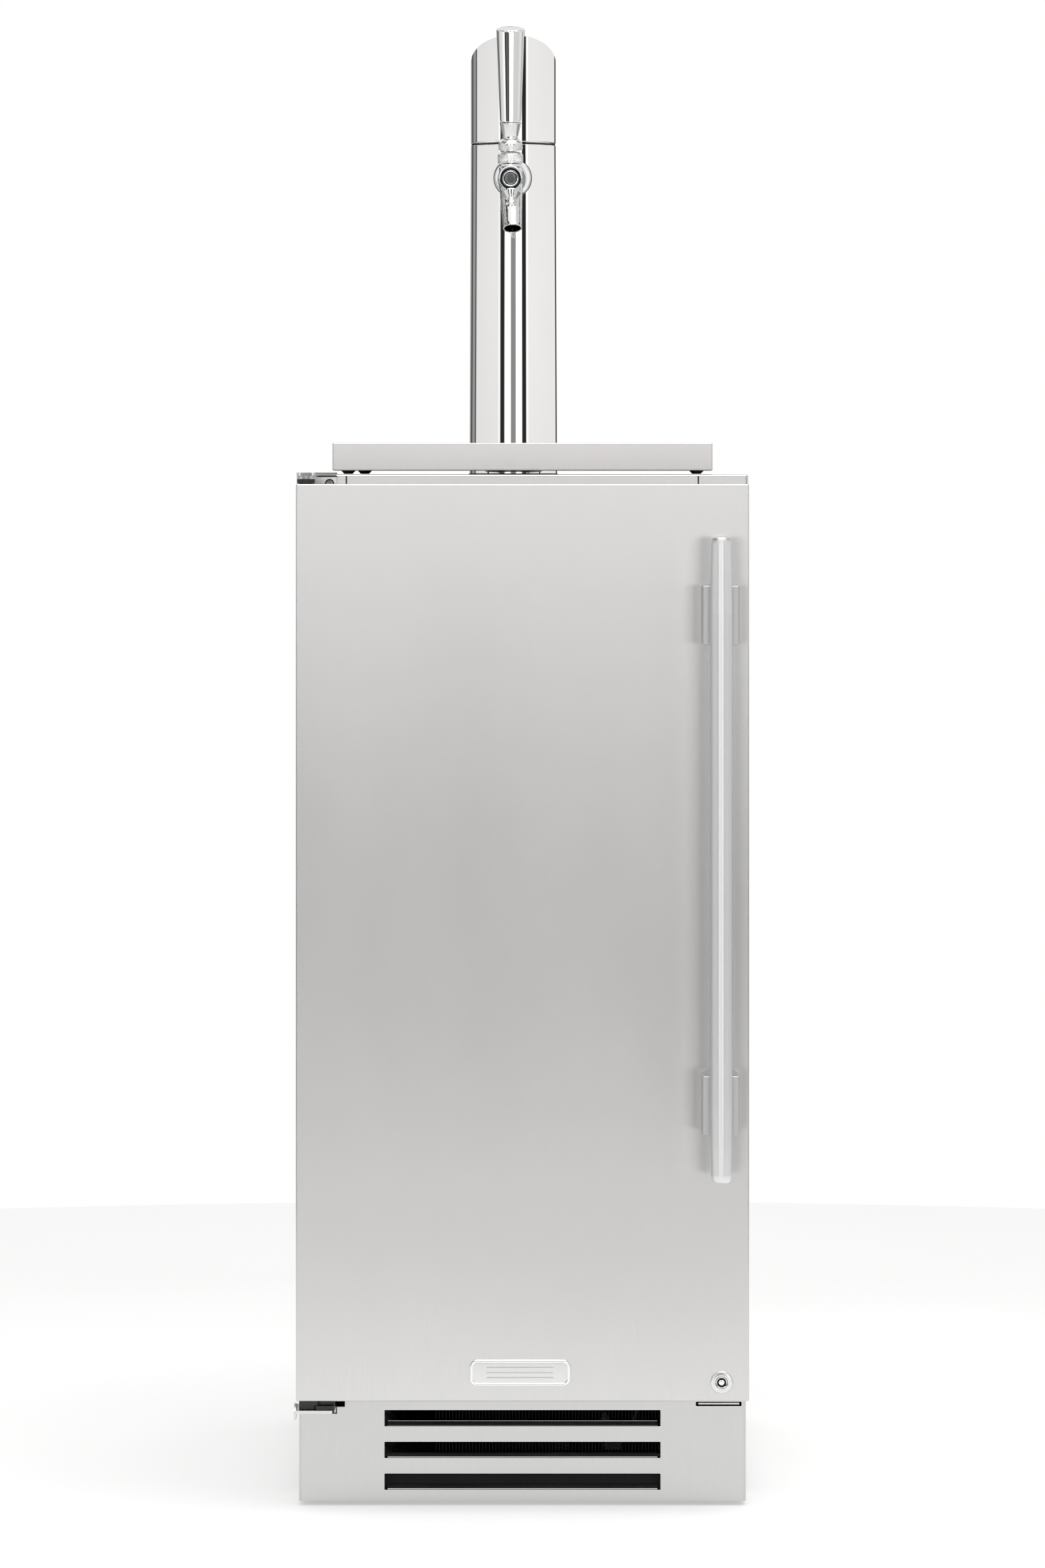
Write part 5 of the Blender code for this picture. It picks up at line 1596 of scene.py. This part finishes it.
def build_coupler():
    x, y, z = -0.085, 0.15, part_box("keg_coupler")[0].z
    place = at((x, y, z))
    body = new_turned([
        (0.0, 0.0), (0.015, 0.0), (0.02, 0.001), (0.024, 0.004), (0.024, 0.018), (0.016, 0.0195),
        (0.015, 0.021), (0.015, 0.03), (0.018, 0.0315), (0.018, 0.06), (0.01, 0.0625),
        (0.01, 0.075), (0.0045, 0.0765), (0.0045, 0.095), (0.0, 0.095),
    ], place, 96, fillet=0.0008)
    add_rod(body, at((x, y, z + 0.04), "-Y"), 0.0045, 0.038, 32)
    for side in (-1, 1):
        a, b = sorted((x + side * 0.016, x + side * 0.024))
        add_block(body, (a, y - 0.006, z + 0.04), (b, y + 0.006, z + 0.052), 0.0015, 3)
    piece("sankey_coupler", body, "chrome", "cabinet", "chrome", ("keg_coupler",))

    fork = rounded([
        (-0.1497, y - 0.02), (x + 0.012, y - 0.02), (x + 0.012, y - 0.0155),
        (x - 0.0155, y - 0.0155), (x - 0.0155, y + 0.0155), (x + 0.012, y + 0.0155),
        (x + 0.012, y + 0.02), (-0.1497, y + 0.02),
    ], 0.0022, 4, closed=True)
    hook = new_plate(fork, [], raised(z + 0.0215), 0.003)
    add_block(hook, (-0.1497, y - 0.02, z + 0.0215), (-0.1482, y + 0.02, z + 0.055), 0.0006, 2)
    for dy in (-0.011, 0.011):
        add_screw(hook, at((-0.1482, y + dy, z + 0.042), "+X"), 0.0034)
    piece("coupler_bracket", hook, "steel", "cabinet", "stainless", ("coupler_hook",), bevel=0.0003)

    lever = bmesh.new()
    for side in (-1, 1):
        a, b = sorted((x + side * 0.0243, x + side * 0.0275))
        add_block(lever, (a, y - 0.005, z + 0.042), (b, y + 0.074, z + 0.05), 0.001, 3)
    add_block(
        lever, (x - 0.0275, y + 0.066, z + 0.04), (x + 0.0275, y + 0.08, z + 0.052), 0.0045, 5
    )
    piece(
        "coupler_pull", lever, "black", node_body("coupler_lever"), "black_plastic",
        ("coupler_lever",),
    )
    build_hoses(x, y, z)


def build_hoses(x, y, z):
    """The two hoses run along the frame's own routes, rounder than there."""
    barb_x, barb_y = 0.075, 0.116
    tower_x, tap_x, shank_z = -0.008, -0.0085, 1.1215
    gas = [
        (barb_x, barb_y, 0.5955), (barb_x, barb_y - 0.002, 0.584),
        (barb_x - 0.007, barb_y - 0.014, 0.566), (barb_x - 0.035, barb_y - 0.026, 0.549),
        (barb_x - 0.075, barb_y - 0.029, 0.541), (barb_x - 0.115, barb_y - 0.029, 0.546),
        (x + 0.012, barb_y - 0.026, 0.566), (x + 0.001, y - 0.051, 0.582),
        (x, y - 0.0385, z + 0.04),
    ]
    beer = [
        (x, y, z + 0.0955), (x, y, z + 0.12), (x + 0.002, y - 0.005, z + 0.16),
        (x + 0.016, y - 0.034, z + 0.212), (x + 0.042, y - 0.077, z + 0.24),
        (x + 0.064, y - 0.122, z + 0.262), (tower_x - 0.003, 0.006, 0.838), (tower_x, 0.004, 0.88),
        (tower_x, 0.012, 0.96), (tower_x, 0.018, 1.06), (tap_x, 0.017, 1.098),
        (tap_x, 0.009, 1.1185), (tap_x, -0.0055, shank_z),
    ]
    for name, knots, look, node_name in (
        ("gas_hose", gas, "gas", "gas_line"), ("beer_hose", beer, "beer", "beer_line"),
    ):
        bm = new_tube(smooth_path(knots, 0.006), 0.00395, 20)
        piece(name, bm, look, "cabinet", "tubing", (node_name,), sharp=60.0, weighted=False)
    clamps = bmesh.new()
    for spot, axis in (
        ((x, y, z + 0.101), "+Z"), ((barb_x, barb_y, 0.5885), "+Z"),
        ((x, y - 0.046, z + 0.0402), "-Y"),
    ):
        add_pipe(clamps, at(spot, axis), 0.0049, 0.0039, 0.005, 40)
    piece("hose_clamps", clamps, "chrome", "cabinet", "chrome")


def dress_kept_nodes():
    """The frame's own solids that stay in sight take their materials here."""
    kept = {"foam_jacket": "foam", "door_foam": "foam", "tap_plunger": "black"}
    for node_name, look in kept.items():
        mesh = frame["nodes"][node_name].data
        mesh.materials.clear()
        mesh.materials.append(LOOK[look])


# ------------------------------------------------------------------ studio

def build_studio():
    bm = bmesh.new()
    bmesh.ops.create_circle(bm, cap_ends=True, radius=FLOOR_RADIUS, segments=96)
    floor = object_from("studio_floor", bm)
    floor.location.z = -0.0002
    material, tree, shader = start_material("floor_glowing_sheet", Roughness=0.85)
    vary_colour(tree, shader, noise(tree, (3.0, 3.0, 3.0)), (0.6, 0.6, 0.597), 0.01)
    shader.inputs["Specular IOR Level"].default_value = 0.1
    # The floor glows as well as reflecting: painted light, strongest near the object, which lifts its
    # contact shadow
    shader.inputs["Emission Color"].default_value = (1.0, 1.0, 1.0, 1.0)
    place = node(tree, "ShaderNodeTexCoord").outputs["Object"]
    reach = node(tree, "ShaderNodeVectorMath", {0: place}, operation="LENGTH").outputs["Value"]
    tree.links.new(spread(tree, reach, 0.49, 0.41, 0.8, 1.5), shader.inputs["Emission Strength"])
    floor.data.materials.append(material)

    softbox = bpy.data.lights.new("overhead_softbox", "AREA")
    softbox.shape = "DISK"
    softbox.size = 2.4
    softbox.energy = 28.0
    lamp = bpy.data.objects.new("overhead_softbox", softbox)
    lamp.location = (0.4, -0.9, 3.2)
    lamp.rotation_euler = Vector((0.4, -0.9, 2.7)).to_track_quat("Z", "Y").to_euler()
    bpy.context.scene.collection.objects.link(lamp)
    build_world()


# Light round the object by azimuth from its front, in degrees, right side positive, as radiance
LEVEL_BANDS = (
    (-180, 0.26), (-154, 0.3), (-150, 0.04), (-143, 0.04), (-139, 0.26), (-125, 0.3), (-123, 0.05),
    (-119, 0.05), (-116, 0.72), (-41, 0.76), (-38, 1.1), (-36, 0.8), (-34, 0.02), (-24, 0.02),
    (-21, 2.0), (-9, 2.0), (-6, 0.24), (6, 0.24), (9, 2.0), (21, 2.0), (24, 0.02), (34, 0.02),
    (36, 1.1), (38, 1.1), (41, 0.8), (148, 0.76), (153, 0.02), (167, 0.02), (172, 0.4), (180, 0.4),
)
LOW_BANDS = (
    (-180, 0.35), (-100, 0.45), (-80, 0.9), (-54, 1.2), (-50, 0.02), (-42, 0.02), (-38, 0.14),
    (-24, 0.12), (-20, 0.02), (-15, 0.02), (-10, 1.7), (22, 1.7), (28, 0.72), (84, 0.66),
    (96, 0.36), (140, 0.22), (180, 0.35),
)
HIGH_BANDS = (
    (-180, 0.85), (-125, 0.85), (-112, 0.1), (-98, 0.1), (-93, 0.7), (-86, 0.7), (-80, 0.06),
    (-62, 0.1), (-52, 1.05), (44, 1.1), (58, 0.78), (100, 0.72), (108, 0.12), (118, 0.12),
    (128, 0.85), (180, 0.85),
)
# Light by elevation in degrees: dimmest a little under the horizon
DUSK = (
    (-9.0, 1.04), (-6.6, 1.04), (-5.4, 0.91), (-4.5, 0.6), (-3.7, 0.52), (-2.9, 0.6), (-2.0, 0.79),
    (-1.0, 1.00), (0.0, 1.19), (2.0, 1.24), (9.0, 1.0),
)
OVERHEAD = 0.95
RAMP_TOP = 2.0


def build_world():
    """Softboxes stand round the object as bands of light; the camera itself sees plain white."""
    world = bpy.data.worlds.new("studio")
    bpy.context.scene.world = world
    world.use_nodes = True
    tree = world.node_tree
    tree.nodes.clear()
    direction = node(tree, "ShaderNodeTexCoord").outputs["Generated"]
    axes = node(tree, "ShaderNodeSeparateXYZ", {"Vector": direction})

    def maths(operation, a, b=0.0):
        return node(tree, "ShaderNodeMath", {0: a, 1: b}, operation=operation).outputs["Value"]

    def blend(fac, a, b, blend_type="MIX"):
        mixer = node(tree, "ShaderNodeMix", data_type="RGBA", blend_type=blend_type)
        for socket, value in ((mixer.inputs[0], fac), (mixer.inputs[6], a), (mixer.inputs[7], b)):
            if isinstance(value, bpy.types.NodeSocket):
                tree.links.new(value, socket)
            else:
                socket.default_value = value
        return mixer.outputs[2]

    def light_ramp(fac, stops, low, high):
        shades = [((x - low) / (high - low), (v / RAMP_TOP,) * 3) for x, v in stops]
        return ramp(tree, fac, *shades)

    turn = maths("ARCTAN2", axes.outputs["X"], maths("MULTIPLY", axes.outputs["Y"], -1.0))
    turn = maths("ADD", maths("DIVIDE", turn, 2 * math.pi), 0.5)
    level = light_ramp(turn, LEVEL_BANDS, -180, 180)
    low = light_ramp(turn, LOW_BANDS, -180, 180)
    high = light_ramp(turn, HIGH_BANDS, -180, 180)
    first, last = DUSK[0][0], DUSK[-1][0]
    rise = maths("DEGREES", maths("ARCSINE", axes.outputs["Z"]))
    share = spread(tree, rise, 0.0, 1.0, first, last)
    dusk = light_ramp(share, DUSK, first, last)
    # The dusk is a plain factor, so the ramp's halving is undone once
    level = blend(1.0, blend(1.0, level, dusk, "MULTIPLY"), (RAMP_TOP,) * 3 + (1.0,), "MULTIPLY")
    light = blend(spread(tree, rise, 0.0, 1.0, -10.0, -14.0), level, low)
    roof = OVERHEAD / RAMP_TOP
    light = blend(spread(tree, rise, 0.0, 1.0, 12.0, 22.0), light, high)
    light = blend(spread(tree, rise, 0.0, 1.0, 54.0, 70.0), light, (roof, roof, roof, 1.0))
    glow = node(tree, "ShaderNodeBackground", {"Color": light, "Strength": RAMP_TOP}).outputs[
        "Background"
    ]
    white = node(tree, "ShaderNodeBackground", {"Color": (1.0, 1.0, 1.0, 1.0), "Strength": 1.0})
    seen = node(tree, "ShaderNodeLightPath").outputs["Is Camera Ray"]
    chosen = node(tree, "ShaderNodeMixShader", {0: seen, 1: glow, 2: white.outputs["Background"]})
    output = node(tree, "ShaderNodeOutputWorld")
    tree.links.new(chosen.outputs["Shader"], output.inputs["Surface"])


def build_camera():
    data = bpy.data.cameras.new("catalogue_camera")
    data.sensor_width = SENSOR
    data.lens = SENSOR * CAMERA_BACK / FIELD_HEIGHT
    data.shift_y = SHIFT
    data.clip_end = 60.0
    camera = bpy.data.objects.new("catalogue_camera", data)
    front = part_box("door_skin")[0].y
    camera.location = (0.0, front - CAMERA_BACK, CAMERA_HEIGHT)
    camera.rotation_euler = (math.pi / 2, 0.0, 0.0)
    bpy.context.scene.collection.objects.link(camera)
    bpy.context.scene.camera = camera
    bpy.context.scene.view_settings.view_transform = "Standard"


build_camera()
build_studio()
build_wrapper()
build_liner()
build_top_trim()
build_hinges()
build_grille()
build_refrigeration()
build_controls()
build_rear()
build_feet()
build_door()
build_tower()
build_tap()
build_tray()
build_gas()
build_coupler()
dress_kept_nodes()
